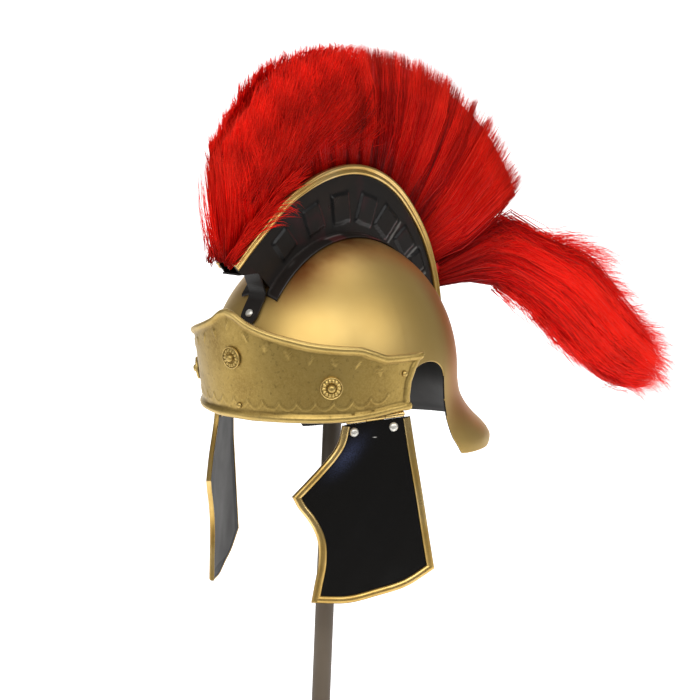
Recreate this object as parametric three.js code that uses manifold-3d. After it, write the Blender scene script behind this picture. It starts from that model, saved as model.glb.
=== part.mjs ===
// Roman legionary helmet with a horsehair crest, on a plain post stand.
// Millimetres, +Z up. The wearer looks along -Y, their left is +X, the table is at z = 0.
import * as THREE from 'three';
import { mergeVertices } from 'three/addons/utils/BufferGeometryUtils.js';
import Module from 'manifold-3d';

const wasm = await Module();
wasm.setup();

// Clearance kept between neighbouring pieces, and over bowed or faceted faces
const GAP = 0.3;
const SEAT = 0.6;

// Skull bowl: half an ellipsoid over straight walls, with a flared neck guard behind
const BOWL_WIDTH = 214;
const BOWL_LENGTH = 253;
const BOWL_RISE = 129;
const BOWL_WALL = 1.6;
const BOWL_Y = 20.5;
const BOWL_Z = 368;
const FRONT_RIM_DROP = 16;
const NECK_DROP = 78;
const NECK_FLARE = 42;
const NECK_START = 8;
const EAR_FRONT = -12;
const EAR_REAR = 42;
const EAR_TOP = 19;
const EAR_SWEEP = 20;
const BOWL_COLUMNS = 36;

// Brow band: a flared strip that stands off the front half of the bowl
const BAND_STANDOFF_SIDE = 8;
const BAND_STANDOFF_FRONT = 6;
const BAND_FLARE = 0.125;
const BAND_SHEET = 1.8;
const BAND_DROP = 28;
const BAND_SIDE_TOP = 32;
const BAND_PEAK = 42;
const BAND_END_DEG = 84;
const BAND_ROLL = 6;
const BAND_ROLL_OUT = 2.8;
const BAND_STEPS = 30;
const SCALLOP_COUNT = 18;
const SCALLOP_HEIGHT = 7.5;
const SCALLOP_ROW = 10;
const TWIG_COUNT = 15;
const TWIG_LENGTH = 9;
const RELIEF = 0.8;
const ROSETTE_RADIUS = 10.5;
const ROSETTE_THICK = 2.6;
const ROSETTE_KNOB = 3.4;
const ROSETTE_FLUTES = 10;
const ROSETTE_SIDE_DEG = 46;
const ROSETTE_SIDE_UP = 5;
const ROSETTE_FRONT_UP = 29;
const BAND_RIVET_RADIUS = 2.8;
const BAND_RIVET_DEG = 77.5;
const BAND_RIVET_UP = 14;
const FRONT_RIVET_DEG = 3;
const FRONT_RIVET_UP = -15;

// Crest box: a black channel that arches over the crown
const CREST_WIDTH = 21;
const CREST_FRONT = 141;
const CREST_REAR = 138;
const CREST_TOP = 194;
const CREST_SHEET = 1.6;
const CREST_FOOT = 12;
const CREST_CHIN_Y = 108;
const CREST_CHIN_Z = 104;
const CREST_MOUTH = 6;
const CREST_PLATE_DROP = 22;
const CREST_REAR_PLATE = 0.965;
const CREST_STATION_COUNT = 20;
const TAB_LENGTH = 26;
const TAB_WIDTH = 20;
const TAB_RIVET_RADIUS = 4;
const TAB_RIVET_AT = 0.6;
const PANEL_WIDTH = 24;
const PANEL_RAISE = 1;
const PANEL_PLACES = [0.147, 0.281, 0.402, 0.54, 0.655, 0.753, 0.838];
const TRIM_HEIGHT = 9.5;
const TRIM_THICK = 2.6;
const TRIM_CAP = 1.2;

// Plume: horsehair in locks on a backing that stands in the channel
const PLUME_ROOT_DEPTH = 9;
const PLUME_NECK = 1.2;
const PLUME_LENGTH = 110;
const PLUME_HALF = 17;
const PLUME_LOCK = 8;
const TAIL_LENGTH = 375;
const TAIL_HALF = 15;
const TAIL_LOCK = 5;

// Cheek guards: flat plates on hinges that are toed in at the front
const GUARD_TOE_DEG = 33;
const HINGE_INSET = 19;
const GUARD_FORWARD = 47;
const GUARD_WIDTH = 133;
const GUARD_HEIGHT = 167;
const GUARD_SHEET = 1.6;
const GUARD_BOW = 3;
const EDGING_WRAP = 1.9;
const EDGING_WIDTH = 7;
const EDGING_RAISE = 2.4;
const HINGE_DROP = 26.5;
const HINGE_SLOPE_DEG = 5.5;
const HINGE_LENGTH = 54;
const PIN_RADIUS = 1.3;
const KNUCKLE_WALL = 1.1;
const LEAF_SHEET = 1.2;
const LEAF_DEPTH = 13;
const PIN_OVERHANG = 0.8;
const CHEEK_RIVET_RADIUS = 4.3;
const CHEEK_RIVET_DROP = 7.5;
const CHEEK_RIVET_FRONT = 1.3;
const CHEEK_RIVET_REAR = 5.4;

// Stand
const BASE_RADIUS = 105;
const BASE_THICK = 10;
const POST_RADIUS = 8.75;
const POST_LEAN = 0.06;
const PAD_RADIUS = 22;
const PAD_THICK = 9;

// Flare of the neck guard round the bowl: angle from the front, reach and drop as shares
const NECK_RIM = [
  { deg: 0, out: 0, drop: 0.95 },
  { deg: 100, out: 0, drop: 0.95 },
  { deg: 112, out: 0.12, drop: 0.93 },
  { deg: 124, out: 0.38, drop: 0.96 },
  { deg: 138, out: 0.66, drop: 0.97 },
  { deg: 150, out: 0.86, drop: 0.86 },
  { deg: 162, out: 0.96, drop: 0.79 },
  { deg: 180, out: 1, drop: 0.77 },
];

// Neck guard in section: share of the drop below its start, share of the flare
const NECK_SECTION = [
  { down: 0, out: 0 },
  { down: 0.19, out: 0.07 },
  { down: 0.39, out: 0.27 },
  { down: 0.58, out: 0.57 },
  { down: 0.72, out: 0.84 },
  { down: 0.86, out: 0.99 },
  { down: 1, out: 1 },
];

// Upper and lower edge of the brow band: angle from the front, rise between side top and peak,
// and share of the drop
const BAND_EDGE = [
  { deg: 0, top: 1, low: 1 },
  { deg: 3, top: 0.96, low: 1 },
  { deg: 10, top: 0.75, low: 1.01 },
  { deg: 19, top: 0.58, low: 1 },
  { deg: 28, top: 0.46, low: 1 },
  { deg: 38, top: 0.34, low: 1 },
  { deg: 48, top: 0.27, low: 0.99 },
  { deg: 56, top: 0.23, low: 0.97 },
  { deg: 62, top: 0.12, low: 0.93 },
  { deg: 68, top: 0.01, low: 0.87 },
  { deg: 76, top: 0, low: 0.78 },
  { deg: 90, top: 0, low: 0.69 },
];

// Rear ends of the brow band: share of the height, share of the end angle
const BAND_END = [
  { up: 0, turn: 0.975 },
  { up: 0.25, turn: 0.965 },
  { up: 0.5, turn: 0.968 },
  { up: 0.75, turn: 0.992 },
  { up: 1, turn: 1.03 },
];

// Crest curve: shares of the front or rear reach, and of the height over the bowl's widest ring
const CREST_CURVE = [
  { reach: -1, up: 0.588 },
  { reach: -0.88, up: 0.668 },
  { reach: -0.72, up: 0.764 },
  { reach: -0.55, up: 0.862 },
  { reach: -0.34, up: 0.938 },
  { reach: -0.14, up: 0.984 },
  { reach: 0.06, up: 1 },
  { reach: 0.24, up: 0.985 },
  { reach: 0.42, up: 0.938 },
  { reach: 0.58, up: 0.862 },
  { reach: 0.73, up: 0.747 },
  { reach: 0.86, up: 0.606 },
  { reach: 0.95, up: 0.44 },
  { reach: 1, up: 0.27 },
  { reach: 1, up: 0.2 },
];

// Hair line: where it leaves the crest curve, its direction from straight up towards the rear,
// and its length and thickness as shares
const PLUME_FAN = [
  { along: 0, lean: -7, long: 0.93, wide: 0.62 },
  { along: 0.05, lean: -11, long: 0.91, wide: 0.78 },
  { along: 0.1, lean: -14, long: 0.87, wide: 0.9 },
  { along: 0.16, lean: -19, long: 0.88, wide: 0.97 },
  { along: 0.23, lean: -23, long: 0.87, wide: 1 },
  { along: 0.31, lean: -24, long: 0.97, wide: 1 },
  { along: 0.39, lean: -21, long: 1.01, wide: 1 },
  { along: 0.46, lean: -14, long: 1.01, wide: 1 },
  { along: 0.53, lean: -3, long: 1.02, wide: 1 },
  { along: 0.59, lean: 9, long: 1.06, wide: 1 },
  { along: 0.65, lean: 20, long: 1.12, wide: 1 },
  { along: 0.71, lean: 32, long: 1.18, wide: 1 },
  { along: 0.77, lean: 44, long: 1.26, wide: 1 },
  { along: 0.83, lean: 55, long: 1.32, wide: 0.97 },
  { along: 0.87, lean: 65, long: 1.36, wide: 0.9 },
];
const FAN_SPLIT = 7;

// Tail: upper and lower edge of each section, as shares of its length behind and above
// the rear end of the crest curve; fan = the upper edge follows the last hair line instead
const TAIL_SECTIONS = [
  { fan: 0.02, topY: 0, topZ: 0.15, lowY: 0, lowZ: 0.07, thick: 0.5 },
  { fan: 0.5, topY: 0.13, topZ: 0.2, lowY: 0.1, lowZ: 0.075, thick: 0.7 },
  { fan: 0.93, topY: 0.27, topZ: 0.26, lowY: 0.2, lowZ: 0.07, thick: 0.9 },
  { topY: 0.425, topZ: 0.187, lowY: 0.28, lowZ: 0.045, thick: 1 },
  { topY: 0.53, topZ: 0.15, lowY: 0.37, lowZ: -0.005, thick: 1 },
  { topY: 0.63, topZ: 0.118, lowY: 0.47, lowZ: -0.072, thick: 1 },
  { topY: 0.72, topZ: 0.042, lowY: 0.57, lowZ: -0.155, thick: 1 },
  { topY: 0.8, topZ: -0.03, lowY: 0.68, lowZ: -0.235, thick: 0.95 },
  { topY: 0.905, topZ: -0.125, lowY: 0.82, lowZ: -0.29, thick: 0.8 },
  { topY: 0.975, topZ: -0.215, lowY: 0.93, lowZ: -0.3, thick: 0.4 },
];

// Locks on each side of the tail: place across it, first and last section, and overhang at the end
const TAIL_LOCKS = [
  { across: 0.28, from: 3, to: 9, over: 0.02 },
  { across: 0.5, from: 2, to: 9, over: 0.035 },
  { across: 0.74, from: 3, to: 9, over: 0.01 },
];

// Outline of a cheek guard: place along the hinge as a share of the width, forwards negative,
// and place below its top edge as a share of the height
const GUARD_OUTLINE = [
  { side: 'front', along: -0.23, down: 0 },
  { side: 'front', along: -0.26, down: 0.09 },
  { side: 'front', along: -0.315, down: 0.155 },
  { side: 'front', along: -0.385, down: 0.215 },
  { side: 'front', along: -0.49, down: 0.3 },
  { side: 'front', along: -0.58, down: 0.372 },
  { side: 'front', along: -0.535, down: 0.445 },
  { side: 'front', along: -0.47, down: 0.52 },
  { side: 'front', along: -0.42, down: 0.6 },
  { side: 'front', along: -0.4, down: 0.665 },
  { side: 'front', along: -0.4, down: 0.77 },
  { side: 'front', along: -0.425, down: 0.88 },
  { side: 'front', along: -0.45, down: 0.99 },
  { side: 'bottom', along: -0.2, down: 1 },
  { side: 'bottom', along: 0.01, down: 0.968 },
  { side: 'bottom', along: 0.22, down: 0.925 },
  { side: 'rear', along: 0.42, down: 0.84 },
  { side: 'rear', along: 0.385, down: 0.68 },
  { side: 'rear', along: 0.335, down: 0.44 },
  { side: 'rear', along: 0.285, down: 0.21 },
  { side: 'rear', along: 0.245, down: 0 },
];

const rad = THREE.MathUtils.degToRad;
const V = (x, y, z) => new THREE.Vector3(x, y, z);
const halfWidth = BOWL_WIDTH / 2;
const halfLength = BOWL_LENGTH / 2;

// Value of a column at a key, straight between the rows
function lookup(table, key, column, at) {
  const last = table.length - 1;
  if (at <= table[0][key]) return table[0][column];
  for (let i = 0; i < last; i += 1) {
    const a = table[i];
    const b = table[i + 1];
    if (at <= b[key]) {
      const share = (at - a[key]) / (b[key] - a[key]);
      return a[column] + (b[column] - a[column]) * share;
    }
  }
  return table[last][column];
}

// Closed body from indexed vertices, turned so that its faces point out
function solidFrom(points, faces) {
  let volume = 0;
  for (const [a, b, c] of faces) {
    const cross = new THREE.Vector3().crossVectors(points[b], points[c]);
    volume += points[a].dot(cross);
  }
  const index = volume > 0 ? faces.flat() : faces.flatMap(([a, b, c]) => [a, c, b]);
  const geometry = new THREE.BufferGeometry().setFromPoints(points);
  geometry.setIndex(index);
  return geometry;
}

// Skin over rings of equal count, with the ends closed by the flat triangles of a section
function loft(rings, section) {
  const n = rings[0].length;
  const points = rings.flat();
  const faces = [];
  for (let r = 0; r < rings.length - 1; r += 1) {
    for (let i = 0; i < n; i += 1) {
      const j = (i + 1) % n;
      const a = r * n + i;
      const b = r * n + j;
      faces.push([a, b, b + n], [a, b + n, a + n]);
    }
  }
  for (const end of [0, rings.length - 1]) {
    const flat = section ?? ringPlane(rings[end]);
    const turned = THREE.ShapeUtils.area(flat) < 0;
    const start = end * n;
    for (const [a, b, c] of THREE.ShapeUtils.triangulateShape(flat, [])) {
      const [p, q, s] = turned === (end === 0) ? [a, b, c] : [a, c, b];
      faces.push([start + p, start + q, start + s]);
    }
  }
  return solidFrom(points, faces);
}

// A ring's points in its own plane
function ringPlane(ring) {
  const middle = ring.reduce((sum, p) => sum.add(p), V(0, 0, 0)).divideScalar(ring.length);
  const normal = V(0, 0, 0);
  ring.forEach((p, i) => {
    const q = ring[(i + 1) % ring.length];
    normal.add(p.clone().sub(middle).cross(q.clone().sub(middle)));
  });
  normal.normalize();
  const u = ring[0].clone().sub(middle).normalize();
  const v = normal.clone().cross(u);
  return ring.map((p) => {
    const d = p.clone().sub(middle);
    return new THREE.Vector2(d.dot(u), d.dot(v));
  });
}

// Skin over rings that starts and ends in a point
function poleLoft(first, rings, last) {
  const n = rings[0].length;
  const points = [first, ...rings.flat(), last];
  const end = points.length - 1;
  const faces = [];
  for (let i = 0; i < n; i += 1) {
    const j = (i + 1) % n;
    faces.push([0, 1 + j, 1 + i]);
    for (let r = 0; r < rings.length - 1; r += 1) {
      const a = 1 + r * n + i;
      const b = 1 + r * n + j;
      faces.push([a, b, b + n], [a, b + n, a + n]);
    }
    const base = 1 + (rings.length - 1) * n;
    faces.push([base + i, base + j, end]);
  }
  return solidFrom(points, faces);
}

// Flat outline in Y and Z, given a thickness along X
function plateYZ(outline, x0, x1) {
  return loft([x0, x1].map((x) => outline.map(([y, z]) => V(x, y, z))), null);
}

function toManifold(geometry) {
  const bare = geometry.clone();
  bare.deleteAttribute('normal');
  bare.deleteAttribute('uv');
  const merged = mergeVertices(bare, 1e-4);
  return new wasm.Manifold(new wasm.Mesh({
    numProp: 3,
    vertProperties: new Float32Array(merged.attributes.position.array),
    triVerts: new Uint32Array(merged.index.array),
  }));
}

function fromManifold(solid) {
  const mesh = solid.getMesh();
  const geometry = new THREE.BufferGeometry();
  geometry.setAttribute('position', new THREE.BufferAttribute(new Float32Array(mesh.vertProperties), 3));
  geometry.setIndex(new THREE.BufferAttribute(new Uint32Array(mesh.triVerts), 1));
  return geometry;
}

function joined(geometries) {
  return fromManifold(geometries.map(toManifold).reduce((all, next) => all.add(next)));
}

function mirrored(geometry) {
  const copy = geometry.clone().scale(-1, 1, 1);
  const index = copy.index.array;
  for (let i = 0; i < index.length; i += 3) {
    [index[i + 1], index[i + 2]] = [index[i + 2], index[i + 1]];
  }
  return copy;
}

// Skull bowl

const NECK_SPAN = NECK_DROP - NECK_START;

// Point on the bowl at an angle from the front; drop is below the widest ring
function wallPoint(deg, drop, inset) {
  const a = rad(deg);
  const turn = Math.abs(((deg + 180) % 360) - 180);
  const reach = NECK_FLARE * lookup(NECK_RIM, 'deg', 'out', turn);
  const down = Math.max(0, (drop - NECK_START) / NECK_SPAN);
  const out = reach * lookup(NECK_SECTION, 'down', 'out', down) - inset;
  const normal = new THREE.Vector2(Math.sin(a) / halfWidth, -Math.cos(a) / halfLength).normalize();
  return V(
    halfWidth * Math.sin(a) + normal.x * out,
    BOWL_Y - halfLength * Math.cos(a) + normal.y * out,
    BOWL_Z - drop,
  );
}

function domePoint(deg, rise, inset) {
  const a = rad(deg);
  const ring = Math.cos(rad(rise));
  return V(
    (halfWidth - inset) * Math.sin(a) * ring,
    BOWL_Y - (halfLength - inset) * Math.cos(a) * ring,
    BOWL_Z + (BOWL_RISE - inset) * Math.sin(rad(rise)),
  );
}

function bowlRings(inset) {
  const turns = Array.from({ length: BOWL_COLUMNS }, (_, i) => (i * 360) / BOWL_COLUMNS);
  const dome = [77, 63, 50, 37, 25, 12, 0];
  const rings = dome.map((rise) => turns.map((deg) => domePoint(deg, rise, inset)));
  for (const share of [0.2, 0.4, 0.58, 0.74, 0.88, 1]) {
    rings.push(turns.map((deg) => {
      const turn = Math.abs(((deg + 180) % 360) - 180);
      const rim = NECK_DROP * lookup(NECK_RIM, 'deg', 'drop', turn);
      return wallPoint(deg, rim * share, inset);
    }));
  }
  return rings;
}

// What is cut away in side view: the low front, and an arch over each ear
function earCut() {
  const front = BOWL_Z - FRONT_RIM_DROP;
  const top = BOWL_Z + EAR_TOP;
  const earFront = BOWL_Y + EAR_FRONT;
  const earRear = BOWL_Y + EAR_REAR;
  const middle = (earFront + earRear) / 2;
  const half = (earRear - earFront) / 2;
  const low = BOWL_Z - NECK_DROP - NECK_FLARE;
  const outline = [[-BOWL_LENGTH, low], [-BOWL_LENGTH, front], [earFront, front]];
  for (let i = 0; i <= 8; i += 1) {
    const a = Math.PI * (1 - i / 8);
    const rise = Math.sin(a) ** 0.8;
    outline.push([middle + half * Math.cos(a), top - half * 0.8 * (1 - rise)]);
  }
  outline.push(
    [earRear + EAR_SWEEP * 0.05, BOWL_Z - NECK_DROP * 0.25],
    [earRear + EAR_SWEEP * 0.2, BOWL_Z - NECK_DROP * 0.48],
    [earRear + EAR_SWEEP * 0.5, BOWL_Z - NECK_DROP * 0.74],
    [earRear + EAR_SWEEP, BOWL_Z - NECK_DROP * 0.97],
    [earRear + EAR_SWEEP, low],
  );
  return plateYZ(outline, -BOWL_WIDTH, BOWL_WIDTH);
}

function skullBowl() {
  const outer = bowlRings(0);
  const inner = bowlRings(BOWL_WALL).reverse();
  const crown = V(0, BOWL_Y, BOWL_Z + BOWL_RISE);
  const shell = poleLoft(crown, [...outer, ...inner], V(0, BOWL_Y, crown.z - BOWL_WALL));
  return fromManifold(toManifold(shell).subtract(toManifold(earCut())));
}

// Brow band

function bandEdges(deg) {
  const turn = Math.abs(deg);
  const top = BAND_SIDE_TOP + BAND_PEAK * lookup(BAND_EDGE, 'deg', 'top', turn);
  const low = -BAND_DROP * lookup(BAND_EDGE, 'deg', 'low', turn);
  return { top, low };
}

// Point on the band's face; height is over the bowl's widest ring, out is off the face
function bandPoint(deg, height, out) {
  const a = rad(deg);
  const flare = BAND_FLARE * height;
  const across = halfWidth + BAND_STANDOFF_SIDE + BAND_SHEET + flare;
  const along = halfLength + BAND_STANDOFF_FRONT + flare;
  const normal = new THREE.Vector2(Math.sin(a) / across, -Math.cos(a) / along).normalize();
  return V(
    across * Math.sin(a) + normal.x * out,
    BOWL_Y - along * Math.cos(a) + normal.y * out,
    BOWL_Z + height,
  );
}

// Section of the band: from = which edge, step = mm inwards from that edge, out = mm off the face
function bandSection() {
  const roll = BAND_ROLL;
  const proud = BAND_ROLL_OUT;
  return [
    { from: 'low', step: 0, out: proud * 0.2 },
    { from: 'low', step: roll * 0.18, out: proud * 0.85 },
    { from: 'low', step: roll * 0.5, out: proud },
    { from: 'low', step: roll * 0.85, out: proud * 0.7 },
    { from: 'low', step: roll * 1.1, out: 0 },
    { from: 'share', step: 0.38, out: 0 },
    { from: 'share', step: 0.66, out: 0 },
    { from: 'top', step: roll * 1.1, out: 0 },
    { from: 'top', step: roll * 0.8, out: proud * 0.7 },
    { from: 'top', step: roll * 0.35, out: proud },
    { from: 'top', step: 0, out: proud * 0.3 },
    { from: 'top', step: roll * 0.2, out: -BAND_SHEET },
    { from: 'share', step: 0.5, out: -BAND_SHEET },
    { from: 'low', step: roll * 0.2, out: -BAND_SHEET },
  ];
}

function bandHeight({ from, step }, deg) {
  const { top, low } = bandEdges(deg);
  if (from === 'low') return low + step;
  if (from === 'top') return top - step;
  return low + (top - low) * step;
}

function browBand() {
  const section = bandSection();
  const inner = Array.from({ length: BAND_STEPS + 1 }, (_, i) => -0.9 + (i * 1.8) / BAND_STEPS);
  const shares = [-1, -0.975, -0.945, ...inner, 0.945, 0.975, 1];
  const rings = shares.map((share) => section.map((row) => {
    const guess = share * BAND_END_DEG;
    const { top, low } = bandEdges(guess);
    const up = (bandHeight(row, guess) - low) / (top - low);
    const deg = guess * lookup(BAND_END, 'up', 'turn', up);
    const nearEnd = Math.abs(share) > 0.97 && row.out >= 0;
    return bandPoint(deg, bandHeight(row, guess), nearEnd ? Math.max(row.out, BAND_ROLL_OUT * 0.8) : row.out);
  }));
  const flat = section.map((row) => new THREE.Vector2(row.out, bandHeight(row, BAND_END_DEG)));
  return joined([loft(rings, flat), ...bandRelief(), bandSpacer(BAND_RIVET_DEG), bandSpacer(-BAND_RIVET_DEG)]);
}

// Spacer behind a side rivet, which carries the band on the bowl
function bandSpacer(deg) {
  const from = bandPoint(deg, BAND_RIVET_UP, -BAND_SHEET * 0.5);
  const inward = bandPoint(deg, BAND_RIVET_UP, -1).sub(bandPoint(deg, BAND_RIVET_UP, 0));
  const outside = (p) => {
    const [a, b, c] = [p.x / halfWidth, (p.y - BOWL_Y) / halfLength, (p.z - BOWL_Z) / BOWL_RISE];
    return a * a + b * b + c * c > 1;
  };
  let reach = 1;
  while (outside(from.clone().addScaledVector(inward, reach)) && reach < BAND_STANDOFF_SIDE * 2) reach += 0.05;
  const side = inward.clone().cross(V(0, 0, 1)).normalize();
  const rings = [0, reach + GAP].map((d) => Array.from({ length: 10 }, (_, i) => {
    const a = (i * Math.PI) / 5;
    return from.clone()
      .addScaledVector(inward, d)
      .addScaledVector(side, BAND_RIVET_RADIUS * Math.cos(a))
      .add(V(0, 0, BAND_RIVET_RADIUS * Math.sin(a)));
  }));
  return loft(rings, null);
}

// Raised line with a flat three-sided section along points on the band
function reliefLine(path) {
  const rings = path.map(([deg, height], i) => {
    const before = path[Math.max(0, i - 1)];
    const after = path[Math.min(path.length - 1, i + 1)];
    const along = bandPoint(after[0], after[1], 0).sub(bandPoint(before[0], before[1], 0)).normalize();
    const face = bandPoint(deg, height, 1).sub(bandPoint(deg, height, 0)).normalize();
    const side = along.cross(face).multiplyScalar(RELIEF);
    const sunk = bandPoint(deg, height, -RELIEF);
    return [sunk.clone().add(side), bandPoint(deg, height, RELIEF), sunk.clone().sub(side)];
  });
  return loft(rings, null);
}

function bandRelief() {
  const lines = [];
  const span = BAND_END_DEG * 0.84;
  const step = (2 * span) / SCALLOP_COUNT;
  const scallops = [];
  for (let i = 0; i <= SCALLOP_COUNT * 3; i += 1) {
    const deg = -span + (i * step) / 3;
    const dip = i % 3 === 0 ? 1 : 0;
    scallops.push([deg, bandEdges(deg).low + SCALLOP_ROW + SCALLOP_HEIGHT * dip]);
  }
  lines.push(reliefLine(scallops));
  for (let i = 0; i < TWIG_COUNT; i += 1) {
    const deg = -span + ((2 * span) * (i + 0.5)) / TWIG_COUNT;
    const middle = bandEdges(deg).top - BAND_ROLL - TWIG_LENGTH;
    const lean = i % 2 ? 0.5 : -0.5;
    const reach = TWIG_LENGTH / 2;
    lines.push(reliefLine([
      [deg - lean * 2.4, middle - reach],
      [deg + lean * 2.4, middle + reach],
    ]));
  }
  return lines;
}

// Places a small round piece on the band with its axis square to the band's face
function onBand(geometry, deg, height, clear) {
  const round = bandPoint(deg + 1, height, 0).sub(bandPoint(deg - 1, height, 0));
  const rise = bandPoint(deg, height + 1, 0).sub(bandPoint(deg, height - 1, 0));
  const normal = round.cross(rise).normalize();
  const seat = bandPoint(deg, height, 0).addScaledVector(normal, clear);
  const turn = new THREE.Quaternion().setFromUnitVectors(V(0, 0, 1), normal);
  return geometry.applyQuaternion(turn).translate(seat.x, seat.y, seat.z);
}

function rosette() {
  const count = ROSETTE_FLUTES * 2;
  const rows = [
    { r: 1, z: 0, flute: 0 },
    { r: 1, z: 0.5, flute: 0 },
    { r: 0.86, z: 0.85, flute: 0.16 },
    { r: 0.42, z: 0.4, flute: 0 },
    { r: 0.3, z: 1.2, flute: 0 },
  ];
  const rings = rows.map((row) => Array.from({ length: count }, (_, i) => {
    const a = (i * 2 * Math.PI) / count;
    const ripple = i % 2 ? row.flute : -row.flute;
    const radius = ROSETTE_RADIUS * row.r;
    return V(radius * Math.cos(a), radius * Math.sin(a), ROSETTE_THICK * (row.z + ripple));
  }));
  return poleLoft(V(0, 0, 0), rings, V(0, 0, ROSETTE_KNOB + ROSETTE_THICK * 0.4));
}

function dome(radius, height) {
  const rings = [0, 0.6].map((share) => Array.from({ length: 10 }, (_, i) => {
    const a = (i * Math.PI) / 5;
    const r = radius * Math.sqrt(1 - share * share);
    return V(r * Math.cos(a), r * Math.sin(a), height * share);
  }));
  return poleLoft(V(0, 0, 0), rings, V(0, 0, height));
}

// Crest box

const crestHalf = CREST_WIDTH / 2;

const crestCurve = new THREE.CatmullRomCurve3(CREST_CURVE.map(({ reach, up }) => {
  const length = reach < 0 ? CREST_FRONT : CREST_REAR;
  return V(0, BOWL_Y + reach * length, BOWL_Z + up * CREST_TOP);
}), false, 'centripetal');

// Station on the crest curve: its point, and the direction away from the bowl
function crestStation(share) {
  const point = crestCurve.getPointAt(share);
  const along = crestCurve.getTangentAt(share);
  return { point, out: V(0, -along.z, along.y) };
}

const crestStations = Array.from({ length: CREST_STATION_COUNT }, (_, i) => (
  crestStation(i / (CREST_STATION_COUNT - 1))
));

// Height of the bowl's outside over a place in plan
function bowlTop(x, y, clear) {
  const a = x / (halfWidth + clear);
  const b = (y - BOWL_Y) / (halfLength + clear);
  return BOWL_Z + (BOWL_RISE + clear) * Math.sqrt(Math.max(0, 1 - a * a - b * b));
}

// Point over the bowl's outside in the middle plane, in front of the crown
function frontOfBowl(z, clear) {
  const share = (z - BOWL_Z) / (BOWL_RISE + clear);
  return V(0, BOWL_Y - (halfLength + clear) * Math.sqrt(1 - share * share), z);
}

// Where the bent front plate meets the bowl
const chinFoot = frontOfBowl(BOWL_Z + CREST_CHIN_Z - CREST_PLATE_DROP, SEAT);

// Side wall in side view, from the crest curve down to the bowl
function crestWallOutline() {
  const outline = crestStations.map(({ point, out }) => {
    const p = point.clone().addScaledVector(out, -GAP - TRIM_CAP);
    return [p.y, p.z];
  });
  const rear = crestCurve.getPointAt(1);
  const rearY = BOWL_Y + (halfLength + 1) * Math.sqrt(1 - ((rear.z - BOWL_Z) / BOWL_RISE) ** 2);
  outline.push([rearY, rear.z]);
  const foot = chinFoot;
  for (let i = 1; i < 18; i += 1) {
    const y = rearY + ((foot.y - rearY) * i) / 18;
    outline.push([y, bowlTop(crestHalf, y, SEAT)]);
  }
  outline.push([foot.y, foot.z]);
  outline.push([BOWL_Y - CREST_CHIN_Y, BOWL_Z + CREST_CHIN_Z]);
  outline.push([BOWL_Y - CREST_FRONT + CREST_MOUTH, BOWL_Z + CREST_CHIN_Z]);
  return outline;
}

// Place on the front tab: share of its length, and height off its underside
function tabPoint(share, height) {
  const z = chinFoot.z - share * TAB_LENGTH;
  return frontOfBowl(z, SEAT + height);
}

// Bent strip: floor of the front overhang, front plate and tab
function crestFront() {
  const inside = crestHalf - CREST_SHEET * 0.25;
  const chin = V(0, BOWL_Y - CREST_CHIN_Y, BOWL_Z + CREST_CHIN_Z);
  const mouth = V(0, BOWL_Y - CREST_FRONT + CREST_MOUTH, chin.z);
  const up = V(0, 0, CREST_SHEET);
  const path = [
    { low: mouth, high: mouth.clone().add(up), half: inside },
    { low: chin.clone().sub(V(0, CREST_SHEET, 0)), high: chin.clone().add(up), half: inside },
    { low: chinFoot.clone().sub(V(0, CREST_SHEET, 0)), high: chinFoot.clone(), half: inside },
    { low: tabPoint(0.3, CREST_SHEET), high: tabPoint(0.3, 0), half: TAB_WIDTH * 0.5 },
    { low: tabPoint(0.65, CREST_SHEET), high: tabPoint(0.65, 0), half: TAB_WIDTH * 0.5 },
    { low: tabPoint(0.9, CREST_SHEET), high: tabPoint(0.9, 0), half: TAB_WIDTH * 0.36 },
    { low: tabPoint(1, CREST_SHEET), high: tabPoint(1, 0), half: TAB_WIDTH * 0.18 },
  ];
  const rings = path.map(({ low, high, half }) => {
    const side = V(half, 0, 0);
    return [high.clone().add(side), low.clone().add(side), low.clone().sub(side), high.clone().sub(side)];
  });
  return loft(rings, null);
}

// Dome-headed rivet in the front tab
function crestRivet() {
  const seat = tabPoint(TAB_RIVET_AT, CREST_SHEET + GAP);
  const slant = V(0, (seat.y - BOWL_Y) / halfLength ** 2, (seat.z - BOWL_Z) / BOWL_RISE ** 2).normalize();
  const turn = new THREE.Quaternion().setFromUnitVectors(V(0, 0, 1), slant);
  return dome(TAB_RIVET_RADIUS, TAB_RIVET_RADIUS * 0.6)
    .applyQuaternion(turn)
    .translate(seat.x, seat.y, seat.z);
}

// Foot flange on the bowl beside one wall
function crestFlange() {
  const foot = chinFoot;
  const rear = BOWL_Y + halfLength * 0.86;
  const rings = Array.from({ length: 15 }, (_, i) => {
    const y = foot.y + ((rear - foot.y) * i) / 14;
    const xs = [crestHalf - 1, crestHalf + CREST_FOOT * 0.5, crestHalf + CREST_FOOT];
    const under = xs.map((x) => V(x, y, bowlTop(x, y, SEAT * 1.5)));
    const over = xs.map((x) => V(x, y, bowlTop(x, y, SEAT * 1.5 + CREST_SHEET))).reverse();
    return [...under, ...over];
  });
  return loft(rings, null);
}

// Raised panel: a low plate on the wall, square to the crest curve
function crestPanel(share) {
  const { point, out } = crestStation(share);
  const along = V(0, out.z, -out.y);
  const ground = bowlDepth(point, out);
  const height = Math.min(ground * 0.44, 29);
  const low = -ground + ground * 0.17;
  const half = (PANEL_WIDTH / 2) * Math.min(1, 0.45 + ground / 90);
  const corner = (a, n, x) => point.clone().addScaledVector(along, a).addScaledVector(out, n).setX(x);
  const square = (inset, x) => [
    corner(-half + inset, low + inset, x),
    corner(half - inset, low + inset, x),
    corner(half - inset, low + height - inset, x),
    corner(-half + inset, low + height - inset, x),
  ];
  return loft([square(0, crestHalf - 0.8), square(0, crestHalf), square(1.2, crestHalf + PANEL_RAISE)], null);
}

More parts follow.
